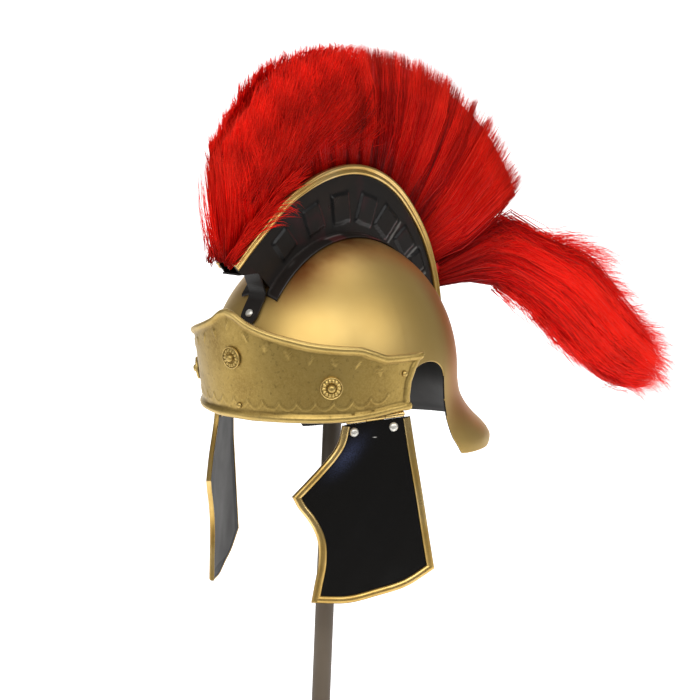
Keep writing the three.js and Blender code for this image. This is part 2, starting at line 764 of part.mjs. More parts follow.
// Depth of the wall under a station, down to the bowl
function bowlDepth(point, out) {
  let depth = CREST_SHEET * 3;
  while (depth < CREST_TOP) {
    const p = point.clone().addScaledVector(out, -depth);
    const a = (p.y - BOWL_Y) / halfLength;
    const b = (p.z - BOWL_Z) / BOWL_RISE;
    if (a * a + b * b < 1) break;
    depth += 1;
  }
  return depth;
}

// Plate across the channel near its rear end
function crestRearPlate() {
  const { point, out } = crestStation(CREST_REAR_PLATE);
  const top = point.clone().addScaledVector(out, -CREST_SHEET * 2.5);
  const low = point.clone().addScaledVector(out, CREST_SHEET - bowlDepth(point, out));
  const half = crestHalf - CREST_SHEET * 0.25;
  const outline = [
    [top.y, top.z],
    [top.y, top.z + CREST_SHEET],
    [low.y, low.z + CREST_SHEET],
    [low.y, low.z],
  ];
  return plateYZ(outline, -half, half);
}

function crestBox() {
  const outline = crestWallOutline();
  const wall = plateYZ(outline, crestHalf - CREST_SHEET, crestHalf);
  const panels = PANEL_PLACES.map(crestPanel);
  const side = joined([wall, crestFlange(), ...panels]);
  return joined([side, mirrored(side), crestFront(), crestRearPlate()]);
}

// Gold strip over a wall's top edge, with two ribs
function crestTrim() {
  const x = crestHalf + GAP;
  const rings = crestStations.map(({ point, out }, i) => {
    const share = i / (crestStations.length - 1);
    const high = TRIM_HEIGHT * (0.74 + 0.26 * Math.sin(Math.PI * Math.min(1, share * 1.15)));
    const at = (px, n) => point.clone().addScaledVector(out, n).setX(px);
    return [
      at(x, -high),
      at(x + TRIM_THICK * 0.5, -high),
      at(x + TRIM_THICK * 0.95, -high * 0.75),
      at(x + TRIM_THICK * 0.6, -high * 0.5),
      at(x + TRIM_THICK, -high * 0.22),
      at(x + TRIM_THICK * 0.4, 0),
      at(x - TRIM_THICK * 0.8, 0),
      at(x - TRIM_THICK * 0.8, -TRIM_CAP),
      at(x, -TRIM_CAP),
    ];
  });
  return loft(rings, null);
}

// Plume

function fanLine(row) {
  const { point, out } = crestStation(row.along);
  const root = point.clone().addScaledVector(out, -PLUME_ROOT_DEPTH);
  const a = rad(row.lean);
  const tip = point.clone().add(V(0, Math.sin(a), Math.cos(a)).multiplyScalar(PLUME_LENGTH * row.long));
  const neck = point.clone().addScaledVector(out, PLUME_NECK);
  return { root, neck, tip, thick: PLUME_HALF * row.wide };
}

const rootHalf = crestHalf - TRIM_THICK * 0.8;

// Closed loop of points round one hair line, thin at root and tip
function fanRing(line) {
  const { thick } = line;
  const at = (share, x) => line.neck.clone().lerp(line.tip, share).setX(x);
  const right = [at(0.3, thick * 0.72), at(0.72, thick), at(0.95, thick * 0.72)];
  const left = right.map((p) => p.clone().setX(-p.x)).reverse();
  return [
    line.root.clone().setX(rootHalf),
    line.neck.clone().setX(rootHalf),
    ...right,
    line.tip.clone(),
    ...left,
    line.neck.clone().setX(-rootHalf),
    line.root.clone().setX(-rootHalf),
  ];
}

// One lock of hair that stands proud of the fan on a side
function fanLock(line, side) {
  const { thick } = line;
  const rows = [
    { at: 0.12, out: 0.5, wide: 0.35 },
    { at: 0.68, out: 0.95, wide: 1 },
    { at: 0.985, out: 0.5, wide: 0.35 },
  ];
  const along = line.tip.clone().sub(line.neck).normalize();
  const across = V(0, along.z, -along.y);
  const rings = rows.map(({ at, out, wide }) => {
    const centre = line.neck.clone().lerp(line.tip, at).setX(side * thick * out);
    return Array.from({ length: 4 }, (_, i) => {
      const a = (i * 2 * Math.PI) / 4;
      return centre.clone()
        .addScaledVector(across, PLUME_LOCK * wide * Math.cos(a))
        .add(V(PLUME_LOCK * 0.45 * wide * Math.sin(a), 0, 0));
    });
  });
  return loft(rings, null);
}

function fanPiece(rows, trimStart, trimEnd) {
  const lines = rows.map(fanLine);
  const last = lines.length - 1;
  if (trimStart) lines[0] = nudged(lines[0], lines[1]);
  if (trimEnd) lines[last] = nudged(lines[last], lines[last - 1]);
  const body = loft(lines.map(fanRing), null);
  const locks = [];
  for (let i = 0; i < last; i += 2) {
    const a = lines[i];
    const b = lines[i + 1];
    const mid = {
      neck: a.neck.clone().lerp(b.neck, 0.5),
      tip: a.tip.clone().lerp(b.tip, 0.5),
      thick: (a.thick + b.thick) / 2,
    };
    locks.push(fanLock(mid, 1), fanLock(mid, -1));
  }
  return joined([body, ...locks]);
}

// Pulls a line a little towards its neighbour, so that two pieces stay apart
function nudged(line, next) {
  const move = (a, b) => a.clone().add(b.clone().sub(a).setLength(GAP));
  return {
    root: move(line.root, next.root),
    neck: move(line.neck, next.neck),
    tip: move(line.tip, next.tip),
    thick: line.thick,
  };
}

// Upper and lower edge of each tail section in the middle plane, and its half thickness
function tailSections() {
  const start = fanLine(PLUME_FAN[PLUME_FAN.length - 1]);
  const foot = crestStation(0.955);
  const end = crestCurve.getPointAt(1);
  const rootLow = foot.point.clone().addScaledVector(foot.out, GAP * 3);
  const along = start.tip.clone().sub(start.neck).normalize();
  const under = V(0, along.z, -along.y).multiplyScalar(SEAT);
  return TAIL_SECTIONS.map(({ fan, topY, topZ, lowY, lowZ, thick }, i) => {
    const onFan = start.neck.clone().lerp(start.tip, fan ?? 0).add(under);
    const top = V(0, end.y + topY * TAIL_LENGTH, end.z + topZ * TAIL_LENGTH);
    const low = V(0, end.y + lowY * TAIL_LENGTH, end.z + lowZ * TAIL_LENGTH);
    return {
      top: fan === undefined ? top : onFan,
      low: i === 0 ? rootLow : low,
      thick: i === 0 ? rootHalf : TAIL_HALF * thick,
    };
  });
}

// One lock along a side of the tail, thin at both ends
function tailLock(sections, { across, from, to, over }, side) {
  const used = sections.slice(from, to + 1);
  const centres = used.map(({ top, low, thick }) => top.clone().lerp(low, across).setX(side * thick * 0.9));
  const last = centres[centres.length - 1];
  const before = centres[centres.length - 2];
  last.add(last.clone().sub(before).setLength(TAIL_LENGTH * over).setX(0));
  const rings = centres.map((centre, i) => {
    const { top, low } = used[i];
    const reach = i === 0 || i === centres.length - 1 ? 0.35 : 1;
    const spread = low.clone().sub(top).setLength(TAIL_LOCK * 1.6 * reach);
    const proud = V(TAIL_LOCK * reach, 0, 0);
    return [
      centre.clone().add(spread),
      centre.clone().add(proud),
      centre.clone().sub(spread),
      centre.clone().sub(proud),
    ];
  });
  return loft(rings, null);
}

function plumeTail() {
  const sections = tailSections();
  const rings = sections.map(({ top, low, thick }) => {
    const at = (share, x) => top.clone().lerp(low, share).setX(x);
    return [
      at(0, 0), at(0.25, thick), at(0.6, thick), at(0.92, thick * 0.5),
      at(1, 0), at(0.92, -thick * 0.5), at(0.6, -thick), at(0.25, -thick),
    ];
  });
  const locks = TAIL_LOCKS.flatMap((row) => [1, -1].map((side) => tailLock(sections, row, side)));
  return joined([loft(rings, null), ...locks]);
}

// Cheek guards, built for the left side

const toe = rad(GUARD_TOE_DEG);
const slope = rad(HINGE_SLOPE_DEG);
const hingeMiddle = V(
  halfWidth + BAND_STANDOFF_SIDE - HINGE_INSET,
  BOWL_Y - GUARD_FORWARD,
  BOWL_Z - HINGE_DROP,
);
const hingeAxis = V(Math.sin(toe) * Math.cos(slope), Math.cos(toe) * Math.cos(slope), Math.sin(slope));
const guardAlong = V(Math.sin(toe), Math.cos(toe), 0);
const guardOut = V(Math.cos(toe), -Math.sin(toe), 0);
const knuckleRadius = PIN_RADIUS + GAP + KNUCKLE_WALL;
const guardTopDrop = knuckleRadius + GAP;

// Point of the plate: along the hinge, down from the hinge line, and out of the plate
function guardPoint(along, down, out) {
  const edge = GUARD_WIDTH / 2;
  const bow = GUARD_BOW * (1 - (along / edge) ** 2) * Math.min(1, down / (GUARD_HEIGHT * 0.3));
  return hingeMiddle.clone()
    .addScaledVector(guardAlong, along)
    .addScaledVector(guardOut, out + bow)
    .add(V(0, 0, along * Math.tan(slope) * Math.max(0, 1 - down / GUARD_HEIGHT) - down));
}

const guardPath = GUARD_OUTLINE.map((row) => ({
  side: row.side,
  along: row.along * GUARD_WIDTH,
  down: guardTopDrop + row.down * GUARD_HEIGHT,
}));

// Unit vector into the plate, square to a stretch of its outline
function edgeNormal(a, b) {
  return new THREE.Vector2(b.down - a.down, a.along - b.along).normalize();
}

// Outline point moved into the plate, with mitred corners
function insetPoint(i, inward) {
  const here = guardPath[i];
  const before = guardPath[i - 1];
  const after = guardPath[i + 1];
  const d1 = edgeNormal(before ?? here, before ? here : after);
  const d2 = edgeNormal(after ? here : before, after ?? here);
  const bisector = d1.clone().add(d2).normalize();
  const mitre = inward / Math.max(0.5, bisector.dot(d1));
  return { along: here.along + bisector.x * mitre, down: here.down + bisector.y * mitre };
}

function cheekGuard() {
  const edge = guardPath.map((point, i) => ({ side: point.side, ...insetPoint(i, EDGING_WRAP + GAP * 0.5) }));
  for (const end of [edge[0], edge[edge.length - 1]]) end.down = guardTopDrop;
  const byLevel = (p, q) => p.down - q.down;
  const lowest = edge.find((p) => p.side === 'bottom');
  const front = [...edge.filter((p) => p.side === 'front'), lowest].sort(byLevel);
  const rear = edge.filter((p) => p.side !== 'front').sort(byLevel);
  const levels = [...front, ...rear].map((p) => p.down).sort((p, q) => p - q);
  const downs = levels.filter((down, i) => i === 0 || down - levels[i - 1] > GUARD_SHEET / 2);
  downs[downs.length - 1] = lowest.down - GAP;
  const half = GUARD_SHEET / 2;
  const row = (down, out) => {
    const a = lookup(front, 'down', 'along', down);
    const b = Math.max(a + GUARD_SHEET / 2, lookup(rear, 'down', 'along', down));
    return [0, 0.33, 0.67, 1].map((share) => guardPoint(a + (b - a) * share, down, out));
  };
  return loft(downs.map((down) => [...row(down, half), ...row(down, -half).reverse()]), null);
}

// Edging: an L section that covers the border of the plate and wraps its edge
function cheekEdging() {
  const face = GUARD_SHEET / 2 + SEAT;
  const back = -GUARD_SHEET / 2;
  const section = [
    [EDGING_WIDTH, face],
    [EDGING_WIDTH * 0.85, face + EDGING_RAISE * 0.6],
    [EDGING_WIDTH * 0.5, face + EDGING_RAISE],
    [EDGING_WRAP, face + EDGING_RAISE * 0.9],
    [GAP, face + EDGING_RAISE * 0.3],
    [0, back],
    [EDGING_WRAP - GAP, back],
    [EDGING_WRAP - GAP, face],
  ];
  const rings = guardPath.map((_, i) => section.map(([inward, out]) => {
    const { along, down } = insetPoint(i, inward);
    return guardPoint(along, down, out);
  }));
  const flat = section.map(([a, b]) => new THREE.Vector2(a, b));
  return loft(rings, flat);
}

// Ring of metal round the hinge line between two places along it
function knuckle(from, to, inner, outer) {
  const profile = [
    new THREE.Vector2(inner, from),
    new THREE.Vector2(outer, from),
    new THREE.Vector2(outer, to),
    new THREE.Vector2(inner, to),
    new THREE.Vector2(inner, from),
  ];
  return alongHinge(latheSolid(profile));
}

// Lathe with its seam vertices merged into one closed body
function latheSolid(profile) {
  const turned = new THREE.LatheGeometry(profile, 8);
  turned.deleteAttribute('normal');
  turned.deleteAttribute('uv');
  const merged = mergeVertices(turned, 1e-4);
  const points = [];
  const position = merged.attributes.position;
  for (let i = 0; i < position.count; i += 1) {
    points.push(new THREE.Vector3().fromBufferAttribute(position, i));
  }
  const faces = [];
  const index = merged.index.array;
  for (let i = 0; i < index.length; i += 3) {
    const [a, b, c] = [index[i], index[i + 1], index[i + 2]];
    if (a !== b && b !== c && a !== c) faces.push([a, b, c]);
  }
  return solidFrom(points, faces);
}

function alongHinge(geometry) {
  const turn = new THREE.Quaternion().setFromUnitVectors(V(0, 1, 0), hingeAxis);
  return geometry.applyQuaternion(turn).translate(hingeMiddle.x, hingeMiddle.y, hingeMiddle.z);
}

const knuckleLength = HINGE_LENGTH / 3;

// Fixed leaf: two knuckles, and a strip that turns up between bowl and band
function hingeLeaf() {
  const inner = PIN_RADIUS + GAP;
  const parts = [];
  for (const side of [-1, 1]) {
    const from = side < 0 ? -HINGE_LENGTH / 2 : knuckleLength / 2 + GAP * 0.7;
    const to = from + knuckleLength - GAP * 0.7;
    parts.push(knuckle(from, to, inner, knuckleRadius));
    const rings = [0.04, 0.96].map((share) => leafSection(from + (to - from) * share));
    parts.push(loft(rings, null));
  }
  const bridge = [-0.5, -0.2, 0.2, 0.5].map((share) => bridgeSection(share * HINGE_LENGTH * 0.97));
  parts.push(loft(bridge, null));
  return joined(parts);
}

// Places across the gap between bowl and band, above the hinge
function leafTop(along, height, out) {
  const over = hingeMiddle.clone().addScaledVector(hingeAxis, along);
  const deg = THREE.MathUtils.radToDeg(Math.atan2(over.x / halfWidth, -(over.y - BOWL_Y) / halfLength));
  return bandPoint(deg, height, out);
}

function leafSection(along) {
  const seat = hingeMiddle.clone().addScaledVector(hingeAxis, along);
  const low = seat.clone().add(V(0, 0, knuckleRadius - LEAF_SHEET * 0.6));
  const out = -BAND_SHEET - SEAT;
  const high = LEAF_DEPTH * 0.75 - BAND_DROP;
  return [
    low,
    leafTop(along, high, out),
    leafTop(along, high, out - LEAF_SHEET),
    low.clone().addScaledVector(guardOut, -LEAF_SHEET),
  ];
}

function bridgeSection(along) {
  const out = -BAND_SHEET - SEAT;
  const low = LEAF_DEPTH * 0.6 - BAND_DROP;
  return [
    leafTop(along, low, out),
    leafTop(along, low + LEAF_DEPTH * 0.6, out),
    leafTop(along, low + LEAF_DEPTH * 0.6, out - LEAF_SHEET),
    leafTop(along, low, out - LEAF_SHEET),
  ];
}

// Moving leaf: the middle knuckle, and a strap behind the plate
function hingeStrap() {
  const inner = PIN_RADIUS + GAP;
  const reach = knuckleLength / 2 - GAP * 0.7;
  const ring = knuckle(-reach, reach, inner, knuckleRadius);
  const face = -GUARD_SHEET / 2 - SEAT;
  const strap = (half, down0, down1) => loft([-1, -0.33, 0.33, 1].map((share) => [
    guardPoint(share * half, down0, face),
    guardPoint(share * half, down1, face),
    guardPoint(share * half, down1, face - LEAF_SHEET),
    guardPoint(share * half, down0, face - LEAF_SHEET),
  ]), null);
  const neck = strap(reach * 0.98, knuckleRadius * 0.2, guardTopDrop + LEAF_DEPTH * 0.4);
  const body = strap(HINGE_LENGTH * 0.47, guardTopDrop + LEAF_SHEET, guardTopDrop + LEAF_DEPTH);
  return fromManifold(toManifold(joined([ring, neck, body])).subtract(toManifold(pinBore())));
}

function pinBore() {
  const profile = [
    new THREE.Vector2(0, -HINGE_LENGTH),
    new THREE.Vector2(PIN_RADIUS + GAP, -HINGE_LENGTH),
    new THREE.Vector2(PIN_RADIUS + GAP, HINGE_LENGTH),
    new THREE.Vector2(0, HINGE_LENGTH),
  ];
  return alongHinge(latheSolid(profile));
}

function hingePin() {
  const reach = HINGE_LENGTH / 2 + PIN_OVERHANG;
  const profile = [
    new THREE.Vector2(0, -reach),
    new THREE.Vector2(PIN_RADIUS, -reach),
    new THREE.Vector2(PIN_RADIUS, reach),
    new THREE.Vector2(0, reach),
  ];
  return alongHinge(latheSolid(profile));
}

// Place of the plate's outline at a level, from the rows of one side
function outlineAt(side, down) {
  const rows = guardPath.filter((p) => p.side === side).sort((p, q) => p.down - q.down);
  return lookup(rows, 'down', 'along', down);
}

// Dome-headed rivet beside the edging, near the top of the plate
function cheekRivet(side, margin) {
  const down = guardTopDrop + CHEEK_RIVET_DROP;
  const inward = EDGING_WIDTH + CHEEK_RIVET_RADIUS + margin;
  const along = outlineAt(side, down) + (side === 'front' ? inward : -inward);
  const seat = guardPoint(along, down, GUARD_SHEET / 2 + SEAT);
  const turn = new THREE.Quaternion().setFromUnitVectors(V(0, 0, 1), guardOut);
  return dome(CHEEK_RIVET_RADIUS, CHEEK_RIVET_RADIUS * 0.62)
    .applyQuaternion(turn)
    .translate(seat.x, seat.y, seat.z);
}

// Stand

// Leaning upright with level ends
function standPost(low, high) {
  const rings = [low, high].map((z) => Array.from({ length: 20 }, (_, i) => {
    const a = (i * Math.PI) / 10;
    return V(POST_RADIUS * Math.cos(a), postY(z) + POST_RADIUS * Math.sin(a), z);
  }));
  return loft(rings, null);
}

function postY(z) {
  return (z - BASE_THICK) * POST_LEAN;
}

function standPad(z) {
  const rings = [
    { r: 0.45, up: 0 },
    { r: 0.9, up: 0.2 },
    { r: 1, up: 0.4 },
    { r: 0.6, up: 0.8 },
  ].map(({ r, up }) => Array.from({ length: 20 }, (_, i) => {
    const a = (i * Math.PI) / 10;
    return V(PAD_RADIUS * r * Math.cos(a), BOWL_Y + PAD_RADIUS * r * Math.sin(a), z - PAD_THICK * (1 - up));
  }));
  return poleLoft(V(0, BOWL_Y, z - PAD_THICK), rings, V(0, BOWL_Y, z));
}

// Materials

function paint(color, roughness, metalness) {
  return new THREE.MeshStandardMaterial({ color, roughness, metalness });
}


const goldPaint = paint(0xb39450, 0.42, 0.85);
const antiqueBrass = paint(0x8f7840, 0.48, 0.85);
const brightBrass = paint(0xd8b56c, 0.3, 0.95);
const blackPaint = paint(0x2b2929, 0.32, 0.3);
const silver = paint(0xc9c6bd, 0.25, 1);
const horsehair = paint(0xc81a14, 0.6, 0);
const postPaint = paint(0x5b5145, 0.6, 0);

const group = new THREE.Group();

function add(name, geometry, material) {
  const mesh = new THREE.Mesh(geometry, material);
  mesh.name = name;
  group.add(mesh);
}

function addPair(name, geometry, material) {
  add(`${name}_left`, geometry, material);
  add(`${name}_right`, mirrored(geometry), material);
}

add('skull_bowl', skullBowl(), goldPaint);
add('brow_band', browBand(), antiqueBrass);
add('rosette_front', onBand(rosette(), 0, ROSETTE_FRONT_UP, SEAT), antiqueBrass);
addPair('rosette', onBand(rosette(), ROSETTE_SIDE_DEG, ROSETTE_SIDE_UP, SEAT), antiqueBrass);
const bandRivet = () => dome(BAND_RIVET_RADIUS, BAND_RIVET_RADIUS * 0.7);
add('band_rivet_front', onBand(bandRivet(), FRONT_RIVET_DEG, FRONT_RIVET_UP, SEAT + GAP), antiqueBrass);
addPair('band_rivet', onBand(bandRivet(), BAND_RIVET_DEG, BAND_RIVET_UP, SEAT + GAP), antiqueBrass);

add('crest_box', crestBox(), blackPaint);
addPair('crest_trim', crestTrim(), goldPaint);
add('crest_rivet', crestRivet(), silver);

const fanFront = PLUME_FAN.slice(0, FAN_SPLIT + 1);
const fanBack = PLUME_FAN.slice(FAN_SPLIT);
add('plume_front', fanPiece(fanFront, false, true), horsehair);
add('plume_back', fanPiece(fanBack, true, false), horsehair);
add('plume_tail', plumeTail(), horsehair);

addPair('cheek_guard', cheekGuard(), blackPaint);
addPair('cheek_edging', cheekEdging(), brightBrass);
addPair('cheek_rivet_front', cheekRivet('front', CHEEK_RIVET_FRONT), silver);
addPair('cheek_rivet_rear', cheekRivet('rear', CHEEK_RIVET_REAR), silver);
addPair('hinge_leaf', hingeLeaf(), brightBrass);
addPair('hinge_strap', hingeStrap(), brightBrass);
addPair('hinge_pin', hingePin(), brightBrass);

const crownInside = BOWL_Z + BOWL_RISE - BOWL_WALL;
const padTop = crownInside - SEAT;
const base = new THREE.CylinderGeometry(BASE_RADIUS, BASE_RADIUS, BASE_THICK, 48).rotateX(Math.PI / 2);
add('stand_base', base.translate(0, 0, BASE_THICK / 2), postPaint);
add('stand_post', standPost(BASE_THICK + GAP, padTop - PAD_THICK - GAP), postPaint);
add('stand_pad', standPad(padTop), postPaint);

export default group;
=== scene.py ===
import math
import bpy
import bmesh
import numpy as np
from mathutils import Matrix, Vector


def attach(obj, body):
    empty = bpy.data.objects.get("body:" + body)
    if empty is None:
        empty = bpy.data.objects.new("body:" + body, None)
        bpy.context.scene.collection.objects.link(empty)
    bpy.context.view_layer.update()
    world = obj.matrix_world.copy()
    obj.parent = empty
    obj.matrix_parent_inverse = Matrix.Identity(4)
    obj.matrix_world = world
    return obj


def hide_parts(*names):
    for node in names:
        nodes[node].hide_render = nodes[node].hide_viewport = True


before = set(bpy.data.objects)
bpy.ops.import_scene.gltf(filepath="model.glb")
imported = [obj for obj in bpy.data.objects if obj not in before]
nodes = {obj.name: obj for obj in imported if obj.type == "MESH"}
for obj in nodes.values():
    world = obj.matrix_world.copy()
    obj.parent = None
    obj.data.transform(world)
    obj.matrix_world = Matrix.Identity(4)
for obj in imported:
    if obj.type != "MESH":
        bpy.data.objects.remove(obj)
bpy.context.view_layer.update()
rng = np.random.default_rng(11)
ROOT = "helmet_and_stand"

MM = 0.001
BOWL_ROWS, BAND_ROWS, CREST_ROWS = 44, 60, 38

# Sizes in mm, as in the part's source
GAP, SEAT = 0.3, 0.6
BOWL_W, BOWL_L, BOWL_RISE, BOWL_WALL, BOWL_Y, BOWL_Z = 107.0, 126.5, 129.0, 1.6, 20.5, 368.0
NECK_DROP, NECK_FLARE, NECK_START, FRONT_DROP = 78.0, 42.0, 8.0, 16.0
EAR_FRONT, EAR_REAR, EAR_TOP, EAR_SWEEP = -12.0, 42.0, 19.0, 20.0
STAND_SIDE, STAND_FRONT, BAND_FLARE, BAND_SHEET = 8.0, 6.0, 0.125, 1.8
BAND_DROP, BAND_SIDE_TOP, BAND_PEAK, BAND_END_DEG, ROLL, ROLL_OUT = 28.0, 32.0, 42.0, 84.0, 6.0, 2.8
CREST_HALF, CREST_FRONT, CREST_REAR, CREST_TOP, CREST_SHEET, CREST_FOOT = 10.5, 141.0, 138.0, 194.0, 1.6, 12.0
CHIN_Y, CHIN_Z, MOUTH, PLATE_DROP = 108.0, 104.0, 6.0, 22.0
TAB_LENGTH, TAB_WIDTH, TRIM_HEIGHT, TRIM_THICK, TRIM_CAP = 26.0, 20.0, 9.5, 2.6, 1.2
PLUME_LENGTH, PLUME_HALF, TAIL_LENGTH, TAIL_HALF = 110.0, 17.0, 375.0, 15.0
TOE, SLOPE = math.radians(33), math.radians(5.5)
GUARD_W, GUARD_H, GUARD_SHEET, GUARD_BOW = 133.0, 167.0, 1.6, 3.0
EDGE_WRAP, EDGE_WIDTH, EDGE_RAISE = 1.9, 7.0, 2.4
HINGE = np.array([96.0, BOWL_Y - 47.0, BOWL_Z - 26.5])
HINGE_LEN, PIN_R, KNUCKLE_R = 54.0, 1.3, 2.7

NECK_RIM = np.array([[0, 0, .95], [100, 0, .95], [112, .12, .93], [124, .38, .96], [138, .66, .97],
                     [150, .86, .86], [162, .96, .79], [180, 1, .77]], float)
NECK_SECTION = np.array([[0, 0], [.19, .07], [.39, .27], [.58, .57], [.72, .84], [.86, .99], [1, 1]], float)
BAND_EDGE = np.array([[0, 1, 1], [3, .96, 1], [10, .75, 1.01], [19, .58, 1], [28, .46, 1], [38, .34, 1],
                      [48, .27, .99], [56, .23, .97], [62, .12, .93], [68, .01, .87],
                      [76, 0, .78], [90, 0, .69]], float)
BAND_END = np.array([[0, .975], [.25, .965], [.5, .968], [.75, .992], [1, 1.03]], float)
CREST_CURVE = [(-1, .588), (-.88, .668), (-.72, .764), (-.55, .862), (-.34, .938), (-.14, .984), (.06, 1),
               (.24, .985), (.42, .938), (.58, .862), (.73, .747), (.86, .606), (.95, .44), (1, .27), (1, .2)]
PLUME_FAN = np.array([[0, -7, .93, .62], [.05, -11, .91, .78], [.1, -14, .87, .9], [.16, -19, .88, .97],
                      [.23, -23, .87, 1], [.31, -24, .97, 1], [.39, -21, 1.01, 1], [.46, -14, 1.01, 1],
                      [.53, -3, 1.02, 1], [.59, 9, 1.06, 1], [.65, 20, 1.12, 1], [.71, 32, 1.18, 1],
                      [.77, 44, 1.26, 1], [.83, 55, 1.32, .97], [.87, 65, 1.36, .9]], float)
FAN_SPLIT, FAN_END = 0.46, 0.87
TAIL = np.array([[0, .15, 0, .07, .5], [.13, .2, .1, .075, .7], [.27, .26, .2, .07, .9], [.425, .187, .28, .045, 1],
                 [.53, .15, .37, -.005, 1], [.63, .118, .47, -.072, 1], [.72, .042, .57, -.155, 1],
                 [.8, -.03, .68, -.235, .95], [.905, -.125, .82, -.29, .8], [.975, -.215, .93, -.3, .4]], float)
GUARD_OUTLINE = [('front', -.23, 0), ('front', -.26, .09), ('front', -.315, .155), ('front', -.385, .215),
                 ('front', -.49, .3), ('front', -.58, .372), ('front', -.535, .445), ('front', -.47, .52),
                 ('front', -.42, .6), ('front', -.4, .665), ('front', -.4, .77), ('front', -.425, .88),
                 ('front', -.45, .99), ('bottom', -.2, 1), ('bottom', .01, .968), ('bottom', .22, .925),
                 ('rear', .42, .84), ('rear', .385, .68), ('rear', .335, .44), ('rear', .285, .21), ('rear', .245, 0)]


def smooth_table(x, table, column):
    """Monotone cubic through the rows of a table."""
    xs, ys = table[:, 0], table[:, column]
    x = np.clip(np.asarray(x, float), xs[0], xs[-1])
    h = np.diff(xs)
    d = np.diff(ys) / h
    m = np.zeros(len(xs))
    m[0], m[-1] = d[0], d[-1]
    for i in range(1, len(xs) - 1):
        if d[i - 1] * d[i] > 0:
            w1, w2 = 2 * h[i] + h[i - 1], h[i] + 2 * h[i - 1]
            m[i] = (w1 + w2) / (w1 / d[i - 1] + w2 / d[i])
    i = np.clip(np.searchsorted(xs, x, side='right') - 1, 0, len(xs) - 2)
    t = (x - xs[i]) / h[i]
    a, b = 2 * t**3 - 3 * t**2 + 1, t**3 - 2 * t**2 + t
    c, e = -2 * t**3 + 3 * t**2, t**3 - t**2
    return a * ys[i] + b * h[i] * m[i] + c * ys[i + 1] + e * h[i] * m[i + 1]


def step(a, b, x):
    t = np.clip((x - a) / (b - a), 0, 1)
    return t * t * (3 - 2 * t)


# Mesh helpers, with input in mm
def add_object(name, data):
    obj = bpy.data.objects.new(name, data)
    bpy.context.scene.collection.objects.link(obj)
    return obj


def make(name, verts, faces, body, slot, material, replaced=None, sharp=35, merge=0.0):
    """Closed piece in place of the CAD node of its name, or of the nodes in replaced."""
    mesh = bpy.data.meshes.new(name)
    mesh.from_pydata((np.asarray(verts, float) * MM).tolist(), [], [tuple(map(int, f)) for f in faces])
    bm = bmesh.new()
    bm.from_mesh(mesh)
    if merge:
        bmesh.ops.remove_doubles(bm, verts=bm.verts, dist=merge * MM)
        bmesh.ops.dissolve_degenerate(bm, edges=bm.edges, dist=1e-7)
    bmesh.ops.recalc_face_normals(bm, faces=bm.faces)
    bm.to_mesh(mesh)
    bm.free()
    mesh.validate()
    mesh.polygons.foreach_set('use_smooth', [True] * len(mesh.polygons))
    mesh.set_sharp_from_angle(angle=math.radians(sharp))
    mesh.materials.append(material)
    obj = add_object(name, mesh)
    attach(obj, body)
    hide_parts(*(replaced or [name]))
    return obj


def vertex_places(mesh):
    """Places of a mesh's vertices in mm."""
    at = np.zeros(len(mesh.vertices) * 3)
    mesh.vertices.foreach_get('co', at)
    return at.reshape(-1, 3) * 1000


def paint(mesh, name, color):
    """Colour attribute from an array (vertices, 4)."""
    mesh.color_attributes.new(name, 'FLOAT_COLOR', 'POINT').data.foreach_set('color', color.ravel())


def grid_faces(rows, cols, wrap=False, offset=0, flip=False):
    i, j = np.meshgrid(np.arange(rows - 1), np.arange(cols if wrap else cols - 1), indexing='ij')
    k = (j + 1) % cols
    a, b = offset + i * cols + j, offset + i * cols + k
    c, d = offset + (i + 1) * cols + k, offset + (i + 1) * cols + j
    f = np.stack([a, d, c, b] if flip else [a, b, c, d], -1).reshape(-1, 4)
    return f.tolist()


def shell(outer, inner, wrap=False, round_edge=0.0, open_low=False):
    """Closed sheet between two grids of points (rows, cols, 3)."""
    rows, cols = outer.shape[:2]
    n = rows * cols
    verts = [outer.reshape(-1, 3), inner.reshape(-1, 3)]
    faces = grid_faces(rows, cols, wrap) + grid_faces(rows, cols, wrap, n, True)
    extra = 2 * n
    borders = [([(i, j) for j in range(cols)], [(near, j) for j in range(cols)], wrap)
               for i, near in ((0, 1), (rows - 1, rows - 2))[int(open_low):]]
    if not wrap:
        borders += [([(i, j) for i in range(rows)], [(i, near) for i in range(rows)], False)
                    for j, near in ((0, 1), (cols - 1, cols - 2))]
    for edge, near, closed in borders:
        a = np.array([i * cols + j for i, j in edge])
        count = len(edge) if closed else len(edge) - 1
        if round_edge:
            po = np.array([outer[i, j] for i, j in edge])
            pn = np.array([outer[i, j] for i, j in near])
            pi = np.array([inner[i, j] for i, j in edge])
            d = po - pn
            d /= np.maximum(np.linalg.norm(d, axis=1, keepdims=True), 1e-9)
            mid = (po + pi) / 2 + d * round_edge
            verts.append(mid)
            m = np.arange(extra, extra + len(edge))
            extra += len(edge)
            if not closed:
                mid[0] = (po[0] + pi[0]) / 2
                mid[-1] = (po[-1] + pi[-1]) / 2
        for q in range(count):
            r = (q + 1) % len(edge)
            if round_edge:
                faces.append([a[q], a[r], m[r], m[q]])
                faces.append([m[q], m[r], a[r] + n, a[q] + n])
            else:
                faces.append([a[q], a[r], a[r] + n, a[q] + n])
    return np.concatenate(verts), faces


def capped(rings, centres):
    """Closed skin over rings (count, points, 3), with a centre point at either end."""
    rows, cols = rings.shape[:2]
    faces = grid_faces(rows, cols, True)
    for j in range(cols):
        k = (j + 1) % cols
        faces.append([rows * cols, k, j])
        faces.append([rows * cols + 1, (rows - 1) * cols + j, (rows - 1) * cols + k])
    return np.concatenate([rings.reshape(-1, 3), centres]), faces


def tube_loft(rings):
    rings = np.asarray(rings, float)
    return capped(rings, [rings[0].mean(0), rings[-1].mean(0)])


